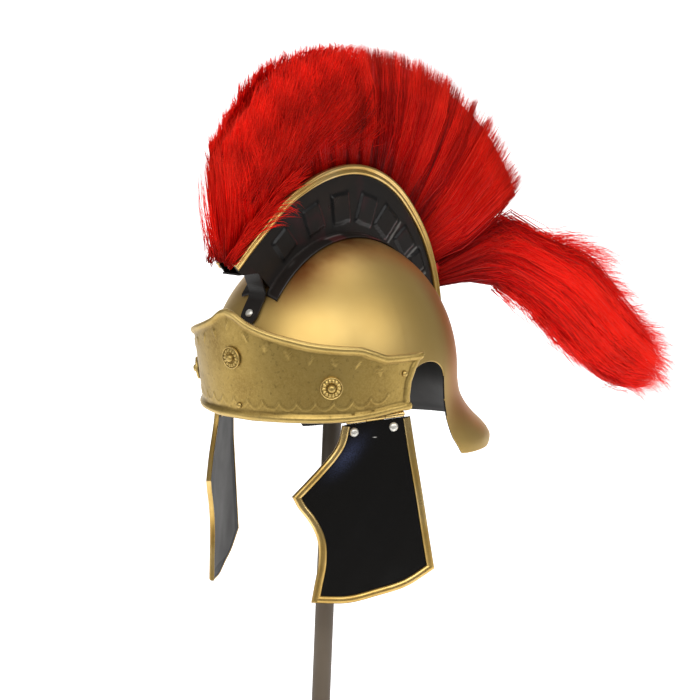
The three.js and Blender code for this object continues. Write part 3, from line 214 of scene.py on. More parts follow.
def lathe(profile, count, frame_x, frame_y, frame_z, origin, ripple=None):
    """Turned body: profile rows of (radius, height); ripple(angle, row) adds height."""
    a = np.arange(count) * 2 * math.pi / count
    rings = []
    for k, (r, h) in enumerate(profile):
        height = h + (ripple(a, k) if ripple is not None else 0)
        rings.append(np.outer(np.cos(a) * r, frame_x) + np.outer(np.sin(a) * r, frame_y)
                     + np.outer(np.ones(count) * height, frame_z) + origin)
    return capped(np.array(rings), [origin + frame_z * profile[0][1], origin + frame_z * profile[-1][1]])


def join_parts(parts):
    verts, faces, base = [], [], 0
    for v, f in parts:
        verts.append(np.asarray(v, float))
        faces.extend([[i + base for i in face] for face in f])
        base += len(v)
    return np.concatenate(verts), faces


def mirror_part(part):
    v, f = part
    v = np.asarray(v, float) * np.array([-1, 1, 1])
    return v, [list(reversed(face)) for face in f]


# Materials
def new_material(name):
    mat = bpy.data.materials.new(name)
    mat.use_nodes = True
    tree = mat.node_tree
    return mat, tree, tree.nodes['Principled BSDF']


def node(tree, kind, **sockets):
    n = tree.nodes.new(kind)
    for key, value in sockets.items():
        if key.startswith('_'):
            setattr(n, key[1:], value)
        else:
            n.inputs[key].default_value = value
    return n


def noise_at(tree, scale, detail=3.0, stretch=(1, 1, 1), rough=0.55):
    coord = tree.nodes.new('ShaderNodeTexCoord')
    mapping = node(tree, 'ShaderNodeMapping')
    mapping.inputs['Scale'].default_value = stretch
    tree.links.new(coord.outputs['Object'], mapping.inputs['Vector'])
    n = node(tree, 'ShaderNodeTexNoise', Scale=scale, Detail=detail, Roughness=rough)
    tree.links.new(mapping.outputs[0], n.inputs['Vector'])
    return n.outputs['Fac']


def ramp(tree, source, stops):
    r = tree.nodes.new('ShaderNodeValToRGB')
    while len(r.color_ramp.elements) < len(stops):
        r.color_ramp.elements.new(0.5)
    for e, (pos, col) in zip(r.color_ramp.elements, stops):
        e.position = pos
        e.color = (*col, 1)
    tree.links.new(source, r.inputs[0])
    return r.outputs[0]


def grey(v):
    return (v, v, v)


def mix_color(tree, factor, a, b, mode='MIX'):
    m = tree.nodes.new('ShaderNodeMix')
    m.data_type = 'RGBA'
    m.blend_type = mode
    for value, socket in ((factor, m.inputs[0]), (a, m.inputs[6]), (b, m.inputs[7])):
        if isinstance(value, (int, float)):
            socket.default_value = value
        elif isinstance(value, tuple):
            socket.default_value = (*value, 1)
        else:
            tree.links.new(value, socket)
    return m.outputs[2]


def add_bump(tree, bsdf, sources):
    last = None
    for source, strength, distance in sources:
        b = node(tree, 'ShaderNodeBump', Strength=strength, Distance=distance)
        tree.links.new(source, b.inputs['Height'])
        if last is not None:
            tree.links.new(last, b.inputs['Normal'])
        last = b.outputs[0]
    tree.links.new(last, bsdf.inputs['Normal'])


def lin(r, g, b):
    return tuple(((c / 255) / 12.92 if c <= 10 else ((c / 255 + 0.055) / 1.055) ** 2.4) for c in (r, g, b))


def marks_of(tree, name):
    """Red, green and blue of a mesh's colour attribute."""
    attr = node(tree, 'ShaderNodeAttribute', _attribute_name=name)
    sep = tree.nodes.new('ShaderNodeSeparateColor')
    tree.links.new(attr.outputs['Color'], sep.inputs[0])
    return sep.outputs


def base_of(bsdf):
    return bsdf.inputs['Base Color'].links[0].from_socket


def set_base(bsdf, base):
    bsdf.id_data.links.new(base, bsdf.inputs['Base Color'])


def metal_material(name, dark, mid, light, rough, metallic, bump, scale,
                   fine=260.0, fine_bump=0.02, specular=None):
    mat, tree, bsdf = new_material(name)
    broad = noise_at(tree, scale, 4)
    small = noise_at(tree, fine, 2)
    set_base(bsdf, ramp(tree, broad, [(0.3, lin(*dark)), (0.5, lin(*mid)), (0.72, lin(*light))]))
    r = ramp(tree, broad, [(0.3, grey(rough[1])), (0.7, grey(rough[0]))])
    tree.links.new(r, bsdf.inputs['Roughness'])
    bsdf.inputs['Metallic'].default_value = metallic
    if specular is not None:
        bsdf.inputs['Specular IOR Level'].default_value = specular
    add_bump(tree, bsdf, [(broad, bump, 0.004), (small, fine_bump, 0.0006)])
    return mat, tree, bsdf


# The bowl has painted shade and reflection: amber where it mirrors the dark crest, orange where it turns away at the
# rear; it also has a small pale spot
gold, tree, bsdf = metal_material('satin_gold', (186, 155, 88), (196, 165, 98), (206, 177, 112),
                                  (0.42, 0.5), 0.88, 0.03, 7.0, 900.0, 0.03)
warm = marks_of(tree, 'warm')
patchy = ramp(tree, noise_at(tree, 11, 4), [(0.38, grey(0.35)), (0.58, grey(1))])
amber = mix_color(tree, 1.0, warm[0], patchy, 'MULTIPLY')
base = mix_color(tree, amber, base_of(bsdf), lin(116, 60, 16))
orange = mix_color(tree, 1.0, warm[1], grey(0.62), 'MULTIPLY')
base = mix_color(tree, orange, base, lin(172, 106, 50))
set_base(bsdf, mix_color(tree, warm[2], base, lin(226, 222, 212)))

bright = metal_material('bright_brass', (164, 130, 66), (198, 164, 94), (230, 202, 142),
                        (0.24, 0.4), 0.96, 0.14, 20.0, 500.0, 0.05)[0]
trim_gold = metal_material('trim_gold', (176, 140, 76), (198, 164, 96), (220, 190, 130),
                           (0.28, 0.42), 0.95, 0.1, 18.0, 500.0, 0.06)[0]
silver = metal_material('silver_rivet', (196, 192, 182), (216, 213, 204), (232, 229, 220),
                        (0.34, 0.46), 0.7, 0.05, 60.0)[0]

# The guards' outside has a bluish highlight and a white speck
black, tree, bsdf = metal_material('gloss_black', (8, 7, 6), (10, 9, 8), (14, 13, 11),
                                   (0.16, 0.28), 0.0, 0.12, 12.0, 420.0, 0.03, 0.35)
sheen = marks_of(tree, 'sheen_mark')
# fine noise that breaks up the painted bluish highlight
highlight_noise = ramp(tree, noise_at(tree, 900, 2), [(0.4, grey(0.4)), (0.6, grey(1.0))])
mark = mix_color(tree, 1.0, sheen[0], highlight_noise, 'MULTIPLY')
base = mix_color(tree, mark, base_of(bsdf), lin(52, 58, 84))
set_base(bsdf, mix_color(tree, sheen[1], base, lin(225, 222, 215)))

# The guards' inside has a dark border
guard_inside, tree, bsdf = metal_material('guard_inside', (50, 48, 47), (60, 58, 56), (72, 70, 67),
                                          (0.5, 0.65), 0.0, 0.08, 12.0, specular=0.2)
set_base(bsdf, mix_color(tree, marks_of(tree, 'sheen_mark')[2], base_of(bsdf), lin(9, 8, 8)))
inside_dark = metal_material('inside_black', (24, 22, 21), (31, 29, 27), (42, 40, 37),
                             (0.5, 0.65), 0.0, 0.08, 12.0, specular=0.2)[0]

# The post is darker towards the helmet: painted shade under it
stand, tree, bsdf = metal_material('stand_paint', (88, 75, 60), (98, 85, 69), (108, 95, 78),
                                   (0.45, 0.6), 0.0, 0.05, 10.0)
split = tree.nodes.new('ShaderNodeSeparateXYZ')
tree.links.new(tree.nodes.new('ShaderNodeTexCoord').outputs['Object'], split.inputs[0])
shade = ramp(tree, split.outputs[2], [(0.12, grey(1.0)), (0.34, grey(0.45))])
set_base(bsdf, mix_color(tree, 1.0, base_of(bsdf), shade, 'MULTIPLY'))

# Antique brass with dark in the hollows and a fine speckle
antique, tree, bsdf = new_material('antique_brass')
mottle = noise_at(tree, 20, 6, (1, 1, 0.8), 0.65)
speckle = noise_at(tree, 520, 3)
spots = noise_at(tree, 260, 2)
geometry = tree.nodes.new('ShaderNodeNewGeometry')
hollow = ramp(tree, geometry.outputs['Pointiness'], [(0.47, grey(0)), (0.505, grey(1))])
edge = ramp(tree, geometry.outputs['Pointiness'], [(0.51, grey(0)), (0.56, grey(0.8))])
base = ramp(tree, mottle, [(0.32, lin(150, 122, 62)), (0.5, lin(170, 142, 76)), (0.68, lin(188, 159, 90))])
base = mix_color(tree, ramp(tree, speckle, [(0.4, grey(0)), (0.62, grey(0.5))]), base, lin(192, 164, 96))
base = mix_color(tree, ramp(tree, spots, [(0.6, grey(0)), (0.72, grey(0.5))]), base, lin(104, 82, 40))
base = mix_color(tree, hollow, mix_color(tree, 0.42, base, lin(84, 64, 30)), base)
set_base(bsdf, mix_color(tree, edge, base, lin(214, 186, 118)))
tree.links.new(ramp(tree, mottle, [(0.3, grey(0.5)), (0.7, grey(0.36))]), bsdf.inputs['Roughness'])
bsdf.inputs['Metallic'].default_value = 0.85
add_bump(tree, bsdf, [(mottle, 0.1, 0.002), (speckle, 0.12, 0.0005), (spots, 0.12, 0.0008)])


# Horsehair: red of the attribute is each hair's own tone, green runs from root to tip, blue is its shade
hair, tree, bsdf = new_material('horsehair')
tint = marks_of(tree, 'tint')
base = ramp(tree, tint[0], [(0.0, lin(178, 3, 2)), (0.5, lin(242, 12, 6)), (1.0, lin(255, 46, 28))])
base = mix_color(tree, ramp(tree, tint[1], [(0.5, grey(0)), (1.0, grey(0.6))]), base, lin(255, 58, 38))
cloud = ramp(tree, noise_at(tree, 22, 3), [(0.3, grey(0.85)), (0.7, grey(1.0))])
# painted shade: each hair is darker at its root, deep in the plume
root = ramp(tree, tint[1], [(0.0, grey(0.42)), (0.3, grey(0.85)), (0.7, grey(1.0))])
for factor in (cloud, root, tint[2]):
    base = mix_color(tree, 1.0, base, factor, 'MULTIPLY')
set_base(bsdf, base)
bsdf.inputs['Roughness'].default_value = 0.45
bsdf.inputs['Specular IOR Level'].default_value = 0.07
# stands in for the light that scatters between the hairs
tree.links.new(base, bsdf.inputs['Emission Color'])
bsdf.inputs['Emission Strength'].default_value = 0.2

core, tree, bsdf = new_material('horsehair_core')
strand_noise = noise_at(tree, 120, 4, (1, 0.25, 0.25))
set_base(bsdf, ramp(tree, strand_noise, [(0.3, lin(158, 4, 3)), (0.7, lin(218, 12, 8))]))
bsdf.inputs['Roughness'].default_value = 0.6
add_bump(tree, bsdf, [(strand_noise, 0.5, 0.003)])

# Black sheet of the channel, with painted shadow beside the pressed panels and a thin painted highlight line on their
# far side
box_black, tree, bsdf = new_material('crest_black')
press = marks_of(tree, 'press')
broad = noise_at(tree, 16, 4)
base = ramp(tree, broad, [(0.3, lin(20, 17, 15)), (0.55, lin(30, 25, 22)), (0.75, lin(44, 36, 32))])
# random dull red patches on the black
red_patches = ramp(tree, noise_at(tree, 24, 3), [(0.56, grey(0)), (0.7, grey(0.5))])
base = mix_color(tree, red_patches, base, lin(58, 24, 28))
# painted shadow, painted reddish highlight and painted light strip
for share, color in zip(press, (lin(5, 4, 4), lin(82, 34, 34), lin(126, 122, 118))):
    base = mix_color(tree, share, base, color)
set_base(bsdf, base)
tree.links.new(ramp(tree, broad, [(0.3, grey(0.42)), (0.7, grey(0.26))]), bsdf.inputs['Roughness'])
bsdf.inputs['Specular IOR Level'].default_value = 0.3
add_bump(tree, bsdf, [(broad, 0.15, 0.003), (noise_at(tree, 300, 2), 0.04, 0.0006)])


# Skull bowl
def wall_point(deg, drop, inset):
    a = np.radians(deg)
    turn = np.abs((deg + 180) % 360 - 180)
    reach = NECK_FLARE * smooth_table(turn, NECK_RIM, 1)
    down = np.maximum(0, (drop - NECK_START) / (NECK_DROP - NECK_START))
    out = reach * smooth_table(down, NECK_SECTION, 1) - inset
    nx, ny = np.sin(a) / BOWL_W, -np.cos(a) / BOWL_L
    ln = np.hypot(nx, ny)
    return np.stack([BOWL_W * np.sin(a) + nx / ln * out, BOWL_Y - BOWL_L * np.cos(a) + ny / ln * out,
                     BOWL_Z - drop], -1)


def dome_point(deg, rise, inset):
    a, r = np.radians(deg), np.radians(rise)
    return np.stack([(BOWL_W - inset) * np.sin(a) * np.cos(r), BOWL_Y - (BOWL_L - inset) * np.cos(a) * np.cos(r),
                     BOWL_Z + (BOWL_RISE - inset) * np.sin(r)], -1)


def rim_height(deg):
    """Lower edge of the bowl at an azimuth, as z - BOWL_Z: the ear arch is cut in side view."""
    turn = np.abs((deg + 180) % 360 - 180)
    base_y = -BOWL_L * np.cos(np.radians(turn))
    rim = -NECK_DROP * smooth_table(turn, NECK_RIM, 2)
    mid, half = (EAR_FRONT + EAR_REAR) / 2, (EAR_REAR - EAR_FRONT) / 2
    out = rim.copy()
    front = base_y <= EAR_FRONT
    out[front] = -FRONT_DROP
    arch = (base_y > EAR_FRONT) & (base_y <= EAR_REAR)
    c = np.clip((base_y[arch] - mid) / half, -1, 1)
    s = np.sqrt(1 - c * c)
    out[arch] = EAR_TOP - half * 0.8 * (1 - s ** 0.8)
    sweep_y = np.array([0, .05, .2, .5, 1.0]) * EAR_SWEEP + EAR_REAR
    sweep_z = np.array([EAR_TOP - half * 0.8, *(-NECK_DROP * share for share in (.25, .48, .74, .97))])
    sweep = (base_y > EAR_REAR) & (base_y < EAR_REAR + EAR_SWEEP)
    out[sweep] = np.interp(base_y[sweep], sweep_y, sweep_z)
    return np.maximum(out, rim)


def make_bowl():
    half = np.concatenate([np.linspace(0, 82, 30), np.linspace(82.5, 86.5, 8), np.linspace(87, 108, 30),
                           np.linspace(108.2, 112, 30), np.linspace(112.3, 119, 20), np.linspace(120, 180, 32)])
    degs = np.concatenate([half, 360 - half[-2:0:-1]])
    rim = rim_height(degs)
    # the dome and the wall below it share one run from the crown to the rim
    total = 90 + (-rim) * 0.5
    # where the rim lies above the widest ring, rows stop on the dome
    high = rim > 0
    top_rise = np.degrees(np.arcsin(np.clip(rim / BOWL_RISE, 0, 1)))

    def surface(inset):
        rows = []
        for share in np.linspace(0.008, 1, BOWL_ROWS):
            rise = 90 - share * total
            dome = dome_point(degs, np.maximum(rise, 0), inset)
            wall = wall_point(degs, np.maximum(0, -rise) * 2, inset)
            row = np.where((rise > 0)[:, None], dome, wall)
            row[high] = dome_point(degs, 90 - share * (90 - top_rise), inset)[high]
            rows.append(row)
        return np.array(rows)
    verts, faces = shell(surface(0), surface(BOWL_WALL), wrap=True, round_edge=0.5, open_low=True)
    cols, base = len(degs), len(verts)
    n = BOWL_ROWS * cols
    top = BOWL_Z + BOWL_RISE
    verts = np.concatenate([verts, [[0, BOWL_Y, top], [0, BOWL_Y, top - BOWL_WALL]]])
    for j in range(cols):
        k = (j + 1) % cols
        faces.append([base, k, j])
        faces.append([base + 1, n + j, n + k])
    obj = make('bowl', verts, faces, ROOT, 'gold_paint', gold, ['skull_bowl'], sharp=50, merge=0.001)
    mesh = obj.data
    x, y, z = vertex_places(mesh).T
    turn = np.degrees(np.arctan2(np.abs(x) / BOWL_W, -(y - BOWL_Y) / BOWL_L))
    off = np.abs(x) - CREST_HALF - CREST_FOOT
    # painted shade and reflection of the dark crest on the crown
    crest_painted_shade = (1 - step(0, 50, off)) * step(BOWL_Z + 62, BOWL_Z + 112, z)
    # painted reflection where the bowl turns away at the rear
    rear_painted_reflection = step(106, 122, turn) * (1 - step(138, 168, turn)) * step(BOWL_Z - 62, BOWL_Z - 30, z)
    rear_painted_reflection *= 1 - step(BOWL_Z + 70, BOWL_Z + 110, z)
    # a small pale spot on the front of the bowl
    pale_spot = np.exp(-((x - 3.0) ** 2 + (z - 424.5) ** 2) / 5.0) * (y < BOWL_Y)
    paint(mesh, 'warm', np.stack([crest_painted_shade, rear_painted_reflection, pale_spot, 1 + 0 * x], -1))
    # the inside is dark
    mesh.materials.append(inside_dark)
    centre = np.array([0, BOWL_Y, BOWL_Z - 20]) * MM
    index = np.zeros(len(mesh.polygons), int)
    for p in mesh.polygons:
        c = np.array(p.center) - centre
        c[2] = max(c[2], 0)
        index[p.index] = np.dot(c, p.normal) < 0
    mesh.polygons.foreach_set('material_index', index)


make_bowl()


# Brow band
def band_edges(deg):
    turn = np.abs(deg)
    return (BAND_SIDE_TOP + BAND_PEAK * smooth_table(turn, BAND_EDGE, 1),
            -BAND_DROP * smooth_table(turn, BAND_EDGE, 2))


def band_point(deg, height, out):
    a = np.radians(deg)
    flare = BAND_FLARE * height
    across, along = BOWL_W + STAND_SIDE + BAND_SHEET + flare, BOWL_L + STAND_FRONT + flare
    nx, ny = np.sin(a) / across, -np.cos(a) / along
    ln = np.hypot(nx, ny)
    return np.stack([across * np.sin(a) + nx / ln * out, BOWL_Y - along * np.cos(a) + ny / ln * out,
                     BOWL_Z + height + 0 * a], -1)


def segment_distance(px, py, ax, ay, bx, by):
    vx, vy = bx - ax, by - ay
    t = np.clip(((px - ax) * vx + (py - ay) * vy) / (vx * vx + vy * vy + 1e-9), 0, 1)
    return np.hypot(px - ax - t * vx, py - ay - t * vy)


MM_PER_DEG = 2.12
SPAN = BAND_END_DEG * 0.84
SCALLOPS, SCALLOP_DEPTH, TWIGS = 18, 6.0, 15


def band_relief(deg, h, low):
    """Raised ornament on the band: scallops and beads below, twig crosses above."""
    x = deg * MM_PER_DEG
    relief = np.zeros_like(h)
    step_mm = 2 * SPAN * MM_PER_DEG / SCALLOPS
    # scallop arcs: from cusp to cusp, hanging down
    phase = (x + SPAN * MM_PER_DEG) / step_mm
    u = phase - np.floor(phase)
    arc = low + 12.5 + SCALLOP_DEPTH * (2 * np.abs(u - 0.5)) ** 2.4
    inside = np.abs(deg) < SPAN + 0.3
    slope_len = np.sqrt(1 + (SCALLOP_DEPTH * 2.4 * (2 * np.abs(u - 0.5)) ** 1.4 * 2 / step_mm) ** 2)
    d = np.abs(h - arc) / slope_len
    relief = np.maximum(relief, 0.42 * (1 - step(0.3, 1.0, d)) * inside)
    # small knob at each cusp
    cusp_x = np.round(phase) * step_mm - SPAN * MM_PER_DEG
    d = np.hypot(x - cusp_x, h - (low + 18.5))
    relief = np.maximum(relief, 0.7 * (1 - step(0.4, 1.3, d)) * inside)
    # bead line above the lower rim
    d = np.abs(h - (low + ROLL + 1.6))
    relief = np.maximum(relief, 0.55 * (1 - step(0.3, 1.0, d)))
    # twigs: leaning crosses under the upper rim
    for i in range(TWIGS):
        cx = (-SPAN + 2 * SPAN * (i + 0.5) / TWIGS) * MM_PER_DEG
        near = np.abs(x - cx) < 12
        if not near.any():
            continue
        cy = band_edges(np.array([cx / MM_PER_DEG]))[0][0] - ROLL - 9.0
        lean = 0.35 if i % 2 else -0.35
        xs, ys = x - cx, h - cy
        d = segment_distance(xs, ys, -lean * 3.6, -3.6, lean * 3.6, 3.6)
        for a, b in ((-1.6, 0.6), (0.9, 0.85)):
            cxx, cyy = lean * a, a
            for way in (-1, 1):
                d = np.minimum(d, segment_distance(xs, ys, cxx + way * 2.8 * b, cyy + 1.6 * b, cxx, cyy))
        relief = np.maximum(relief, np.where(near, 0.55 * (1 - step(0.35, 1.05, d)), 0))
    return relief


def make_band():
    share = np.linspace(-1, 1, 360)
    guess = share * BAND_END_DEG
    top, low = band_edges(guess)
    from_end = (1 - np.abs(share)) * BAND_END_DEG * MM_PER_DEG

    def roll(d):
        t = np.clip(d / (ROLL * 1.15), 0, 1)
        return ROLL_OUT * np.where(t < 1, np.sqrt(np.clip(1 - (2 * t - 1) ** 2, 0, 1)), 0)
    outer, inner = [], []
    for r in np.linspace(0, 1, BAND_ROWS):
        h = low + (top - low) * r
        deg = guess * np.interp(r, BAND_END[:, 0], BAND_END[:, 1])
        out = np.maximum(roll(h - low), np.maximum(roll(top - h), roll(from_end) * 0.7))
        out = out + band_relief(deg, h, low) * (from_end > ROLL)
        outer.append(band_point(deg, h, out))
        inner.append(band_point(deg, h, -BAND_SHEET + 0 * out))
    verts, faces = shell(np.array(outer), np.array(inner), round_edge=0.3)
    make('band', verts, faces, ROOT, 'antique_brass', antique, ['brow_band'], sharp=60, merge=0.001)


make_band()


def band_frame(deg, h):
    d = np.array([deg])
    t = (band_point(d + 1, np.array([h]), 0) - band_point(d - 1, np.array([h]), 0))[0]
    r = (band_point(d, np.array([h + 1]), 0) - band_point(d, np.array([h - 1]), 0))[0]
    n = np.cross(t, r)
    n /= np.linalg.norm(n)
    t /= np.linalg.norm(t)
    return t, np.cross(n, t), n, band_point(d, np.array([h]), 0)[0]


ROSETTE_R, ROSETTE_RISE, ROSETTE_PETALS = 10.5, 2.6, 14


def rosette(name, deg, up):
    t, r, n, p = band_frame(deg, up)
    profile = [(ROSETTE_R * a, ROSETTE_RISE * b) for a, b in (
        (.99, 0), (1, .25), (.995, .5), (.97, .68), (.93, .74), (.89, .66), (.87, .5), (.83, .5), (.76, .72),
        (.66, .85), (.56, .8), (.48, .55), (.45, .42), (.36, .42), (.345, .5), (.34, 1.0), (.31, 1.5), (.25, 1.78),
        (.17, 1.94), (.08, 2.0))]

    def ripple(a, k):
        weight = (0, 0, 0, 0, 0, 0, 0, .3, .8, 1, .9, .4)[k] if k < 12 else 0
        return 0.5 * weight * np.cos(a * ROSETTE_PETALS)
    make(name, *lathe(profile, 112, t, r, n, p + n * SEAT, ripple), ROOT, 'antique_brass', antique, sharp=40)


rosette('rosette_front', 1.0, 29.0)
rosette('rosette_left', 46, 5)
rosette('rosette_right', -46, 5)


def dome_part(origin, t, r, n, radius, height):
    profile = [(radius * c, height * s) for c, s in (
        (.98, 0), (1, .06), (.985, .2), (.93, .42), (.83, .64), (.68, .82), (.48, .94), (.25, .99), (.08, 1))]
    return lathe(profile, 28, t, r, n, origin)


for where, deg, up in (('front', 3, -15), ('left', 77.5, 14), ('right', -77.5, 14)):
    t, r, n, p = band_frame(deg, up)
    make(f'band_rivet_{where}', *dome_part(p + n * SEAT, t, r, n, 2.8, 2.1), ROOT, 'antique_brass', antique, sharp=50)


# Crest
def centripetal(points, samples=40):
    pts = np.array(points, float)
    pts = np.vstack([2 * pts[0] - pts[1], pts, 2 * pts[-1] - pts[-2]])
    out = []
    for i in range(1, len(pts) - 2):
        p0, p1, p2, p3 = pts[i - 1:i + 3]
        d0, d1, d2 = [max(np.sum((b - a) ** 2) ** 0.25, 1e-4) for a, b in ((p0, p1), (p1, p2), (p2, p3))]
        t1 = ((p1 - p0) / d0 - (p2 - p0) / (d0 + d1) + (p2 - p1) / d1) * d1
        t2 = ((p2 - p1) / d1 - (p3 - p1) / (d1 + d2) + (p3 - p2) / d2) * d1
        for s in np.linspace(0, 1, samples, endpoint=False):
            out.append(p1 + t1 * s + (-3 * p1 + 3 * p2 - 2 * t1 - t2) * s ** 2
                       + (2 * p1 - 2 * p2 + t1 + t2) * s ** 3)
    out.append(pts[-2])
    return np.array(out)


curve = centripetal([(BOWL_Y + reach * (CREST_FRONT if reach < 0 else CREST_REAR), BOWL_Z + up * CREST_TOP)
                     for reach, up in CREST_CURVE])
arc = np.concatenate([[0], np.cumsum(np.linalg.norm(np.diff(curve, axis=0), axis=1))])
CREST_ARC = arc[-1]


def crest_at(share):
    """Points (y, z) and outward directions on the crest curve."""
    def at(s):
        return np.stack([np.interp(s, arc, curve[:, 0]), np.interp(s, arc, curve[:, 1])], -1)
    s = np.atleast_1d(share) * CREST_ARC
    t = at(s + 4) - at(s - 4)
    t /= np.linalg.norm(t, axis=1, keepdims=True)
    return at(s), np.stack([-t[:, 1], t[:, 0]], -1)


def bowl_top(x, y, clear):
    a, b = x / (BOWL_W + clear), (y - BOWL_Y) / (BOWL_L + clear)
    return BOWL_Z + (BOWL_RISE + clear) * np.sqrt(np.maximum(0, 1 - a * a - b * b))


def front_of_bowl(z, clear):
    share = (z - BOWL_Z) / (BOWL_RISE + clear)
    return np.array([BOWL_Y - (BOWL_L + clear) * math.sqrt(1 - share * share), z])


chin = np.array([BOWL_Y - CHIN_Y, BOWL_Z + CHIN_Z])
mouth = np.array([BOWL_Y - CREST_FRONT + MOUTH, BOWL_Z + CHIN_Z])
foot = front_of_bowl(BOWL_Z + CHIN_Z - PLATE_DROP, SEAT)


def under_box(p):
    """True where a point in side view is below the wall's lower edge."""
    y, z = p
    if y < chin[0]:
        return z < chin[1]
    if y < foot[0]:
        return z < chin[1] + (foot[1] - chin[1]) * (y - chin[0]) / (foot[0] - chin[0])
    return z < bowl_top(CREST_HALF, y, SEAT)


PANELS = [0.147, 0.281, 0.402, 0.54, 0.655, 0.753, 0.838]
PANEL_CORNER = 2.2
DEEPEST = 120


def bowl_depth(p, o):
    d = 5.0
    while d < DEEPEST:
        y, z = p - o * d
        if ((y - BOWL_Y) / BOWL_L) ** 2 + ((z - BOWL_Z) / BOWL_RISE) ** 2 < 1:
            break
        d += 1
    return d


panel_data = []
for p, o in zip(*crest_at(PANELS)):
    ground = bowl_depth(p, o)
    panel_data.append((p, np.array([o[1], -o[0]]), o, 12.0 * min(1, 0.45 + ground / 90),
                       -ground + ground * 0.17, min(ground * 0.44, 29)))


def panel_raise(yz):
    """Height of the raised panels, with a narrow groove round each."""
    out = np.zeros(yz.shape[:-1])
    for p, along, o, half, low, height in panel_data:
        d = yz - p
        a = d @ along
        n = d @ o
        qa = np.abs(a) - (half - PANEL_CORNER)
        qn = np.abs(n - (low + height / 2)) - (height / 2 - PANEL_CORNER)
        sd = np.hypot(np.maximum(qa, 0), np.maximum(qn, 0)) + np.minimum(np.maximum(qa, qn), 0) - PANEL_CORNER
        out = np.maximum(out, 1.35 * (1 - step(-1.7, 0.1, sd)))
        out -= 0.45 * (1 - step(0.2, 2.4, np.abs(sd - 0.9)))
    return out


def panel_painted_light(yz):
    """Shares of painted shadow, thin warm painted highlight and painted light strip at points of the channel's wall.
    """
    out = np.zeros(yz.shape[:-1] + (3,))
    for k, (p, along, o, half, low, height) in enumerate(panel_data):
        d = yz - p
        a, n = d @ along, d @ o - (low + height / 2)
        box = np.maximum(np.abs(a) - half, np.abs(n) - height / 2)
        near = 1 - step(0.8, 3.4, np.abs(box + 0.9))
        front = a < -half + 2.6
        top = n > height / 2 - 2.6
        out[..., 0] = np.maximum(out[..., 0], near * (front | top) * (box < 2.4))
        line = 0.75 * (1 - step(0.1, 1.0, np.abs(box + 0.3))) * (a > half - 2.2) * ~top
        out[..., 1] = np.maximum(out[..., 1], line)
        if k >= 4:
            strip = (1 - step(0.4, 1.5, np.abs(a - half - 4.5))) * (np.abs(n) < height / 2)
            out[..., 2] = np.maximum(out[..., 2], 0.7 * strip)
    return out


def make_crest_box():
    pts, outs = crest_at(np.linspace(0, 1, 250))
    grid = np.zeros((CREST_ROWS, len(pts), 2))
    for i, (p, o) in enumerate(zip(pts, outs)):
        a = p - o * (GAP + TRIM_CAP)
        d = 1.0
        while d < DEEPEST and not under_box(a - o * d):
            d += 1.0
        low, high = d - 1.0, d
        for _ in range(12):
            m = (low + high) / 2
            if under_box(a - o * m):
                high = m
            else:
                low = m
        for r in range(CREST_ROWS):
            grid[r, i] = a - o * low * r / (CREST_ROWS - 1)
    bulge = panel_raise(grid)
    outer = np.concatenate([(CREST_HALF + bulge)[..., None], grid], -1)
    inner = np.concatenate([np.full(grid.shape[:2] + (1,), CREST_HALF - CREST_SHEET), grid], -1)
    wall = shell(outer, inner, round_edge=0.3)
    # foot flange along the bowl
    ys = np.linspace(foot[0], BOWL_Y + BOWL_L * 0.86, 90)
    xs = np.linspace(CREST_HALF - 1.2, CREST_HALF + CREST_FOOT, 12)
    seat = SEAT * 1.5
    under = np.array([[[x, y, bowl_top(x, y, seat)] for y in ys] for x in xs])
    fillet = {x: seat + CREST_SHEET + 0.9 * math.exp(-((x - CREST_HALF) / 1.2) ** 2) for x in xs}
    over = np.array([[[x, y, bowl_top(x, y, fillet[x])] for y in ys] for x in xs])
    flange = shell(over, under, round_edge=0.4)
    parts = [wall, mirror_part(wall), flange, mirror_part(flange)]
    # bent strip: floor, front plate, tab with a rounded end
    inside = CREST_HALF - CREST_SHEET * 0.25
    path = [(mouth, np.array([0, 1.0]), inside), (chin - [CREST_SHEET, 0], np.array([0.5, 0.9]), inside)]
    for f in (0.15, 0.5, 0.9):
        path.append((chin + (foot - chin) * f - [CREST_SHEET, 0], np.array([1.0, 0.25]), inside))
    for f in np.linspace(0.12, 1, 14):
        z = foot[1] - f * TAB_LENGTH
        p = front_of_bowl(z, SEAT + CREST_SHEET)
        q = front_of_bowl(z, SEAT)
        d, w = (1 - f) * TAB_LENGTH, TAB_WIDTH / 2
        half = w if d > w else math.sqrt(max(0.02, 1 - (1 - d / w) ** 2)) * w
        path.append((p, (q - p) / CREST_SHEET, half))
    ks = np.linspace(-1, 1, 13)
    outer = np.array([[[k * h, *p] for k in ks] for p, n, h in path])
    inner = np.array([[[k * h, *(p + n * CREST_SHEET)] for k in ks] for p, n, h in path])
    parts.append(shell(outer, inner, round_edge=0.3))
    # rear plate
    (p,), (o,) = crest_at(0.965)
    a, b = p - o * 4, p - o * (bowl_depth(p, o) - 2)
    w = CREST_HALF - 0.4
    q = np.array([[[-w, *a], [w, *a]], [[-w, *b], [w, *b]]])
    parts.append(shell(q, q + np.array([0, 0, 1.6])))
    mesh = make('crest_box', *join_parts(parts), ROOT, 'black_paint', box_black, sharp=45).data
    at = vertex_places(mesh)
    press = np.zeros((len(at), 4))
    side = np.abs(at[:, 0])
    on_wall = (side > CREST_HALF - 1) & (side < CREST_HALF + 1.7)
    # painted shadow and painted highlights beside the panels on the wall
    press[:, :3] = panel_painted_light(at[:, 1:]) * on_wall[:, None]
    out = (side - CREST_HALF) / CREST_FOOT
    wavy = np.sin(at[:, 1] * 0.12 + 1.2) + 0.6 * np.sin(at[:, 1] * 0.047 + 0.4)
    # painted reddish reflection and a painted highlight line along the foot flange
    press[:, 1] += 0.5 * (out > 0.3) * step(0.5, 1.1, wavy)
    press[:, 2] += 0.5 * np.exp(-((out - 0.32) / 0.1) ** 2) * step(-0.2, -0.9, -wavy)
    paint(mesh, 'press', press)


make_crest_box()


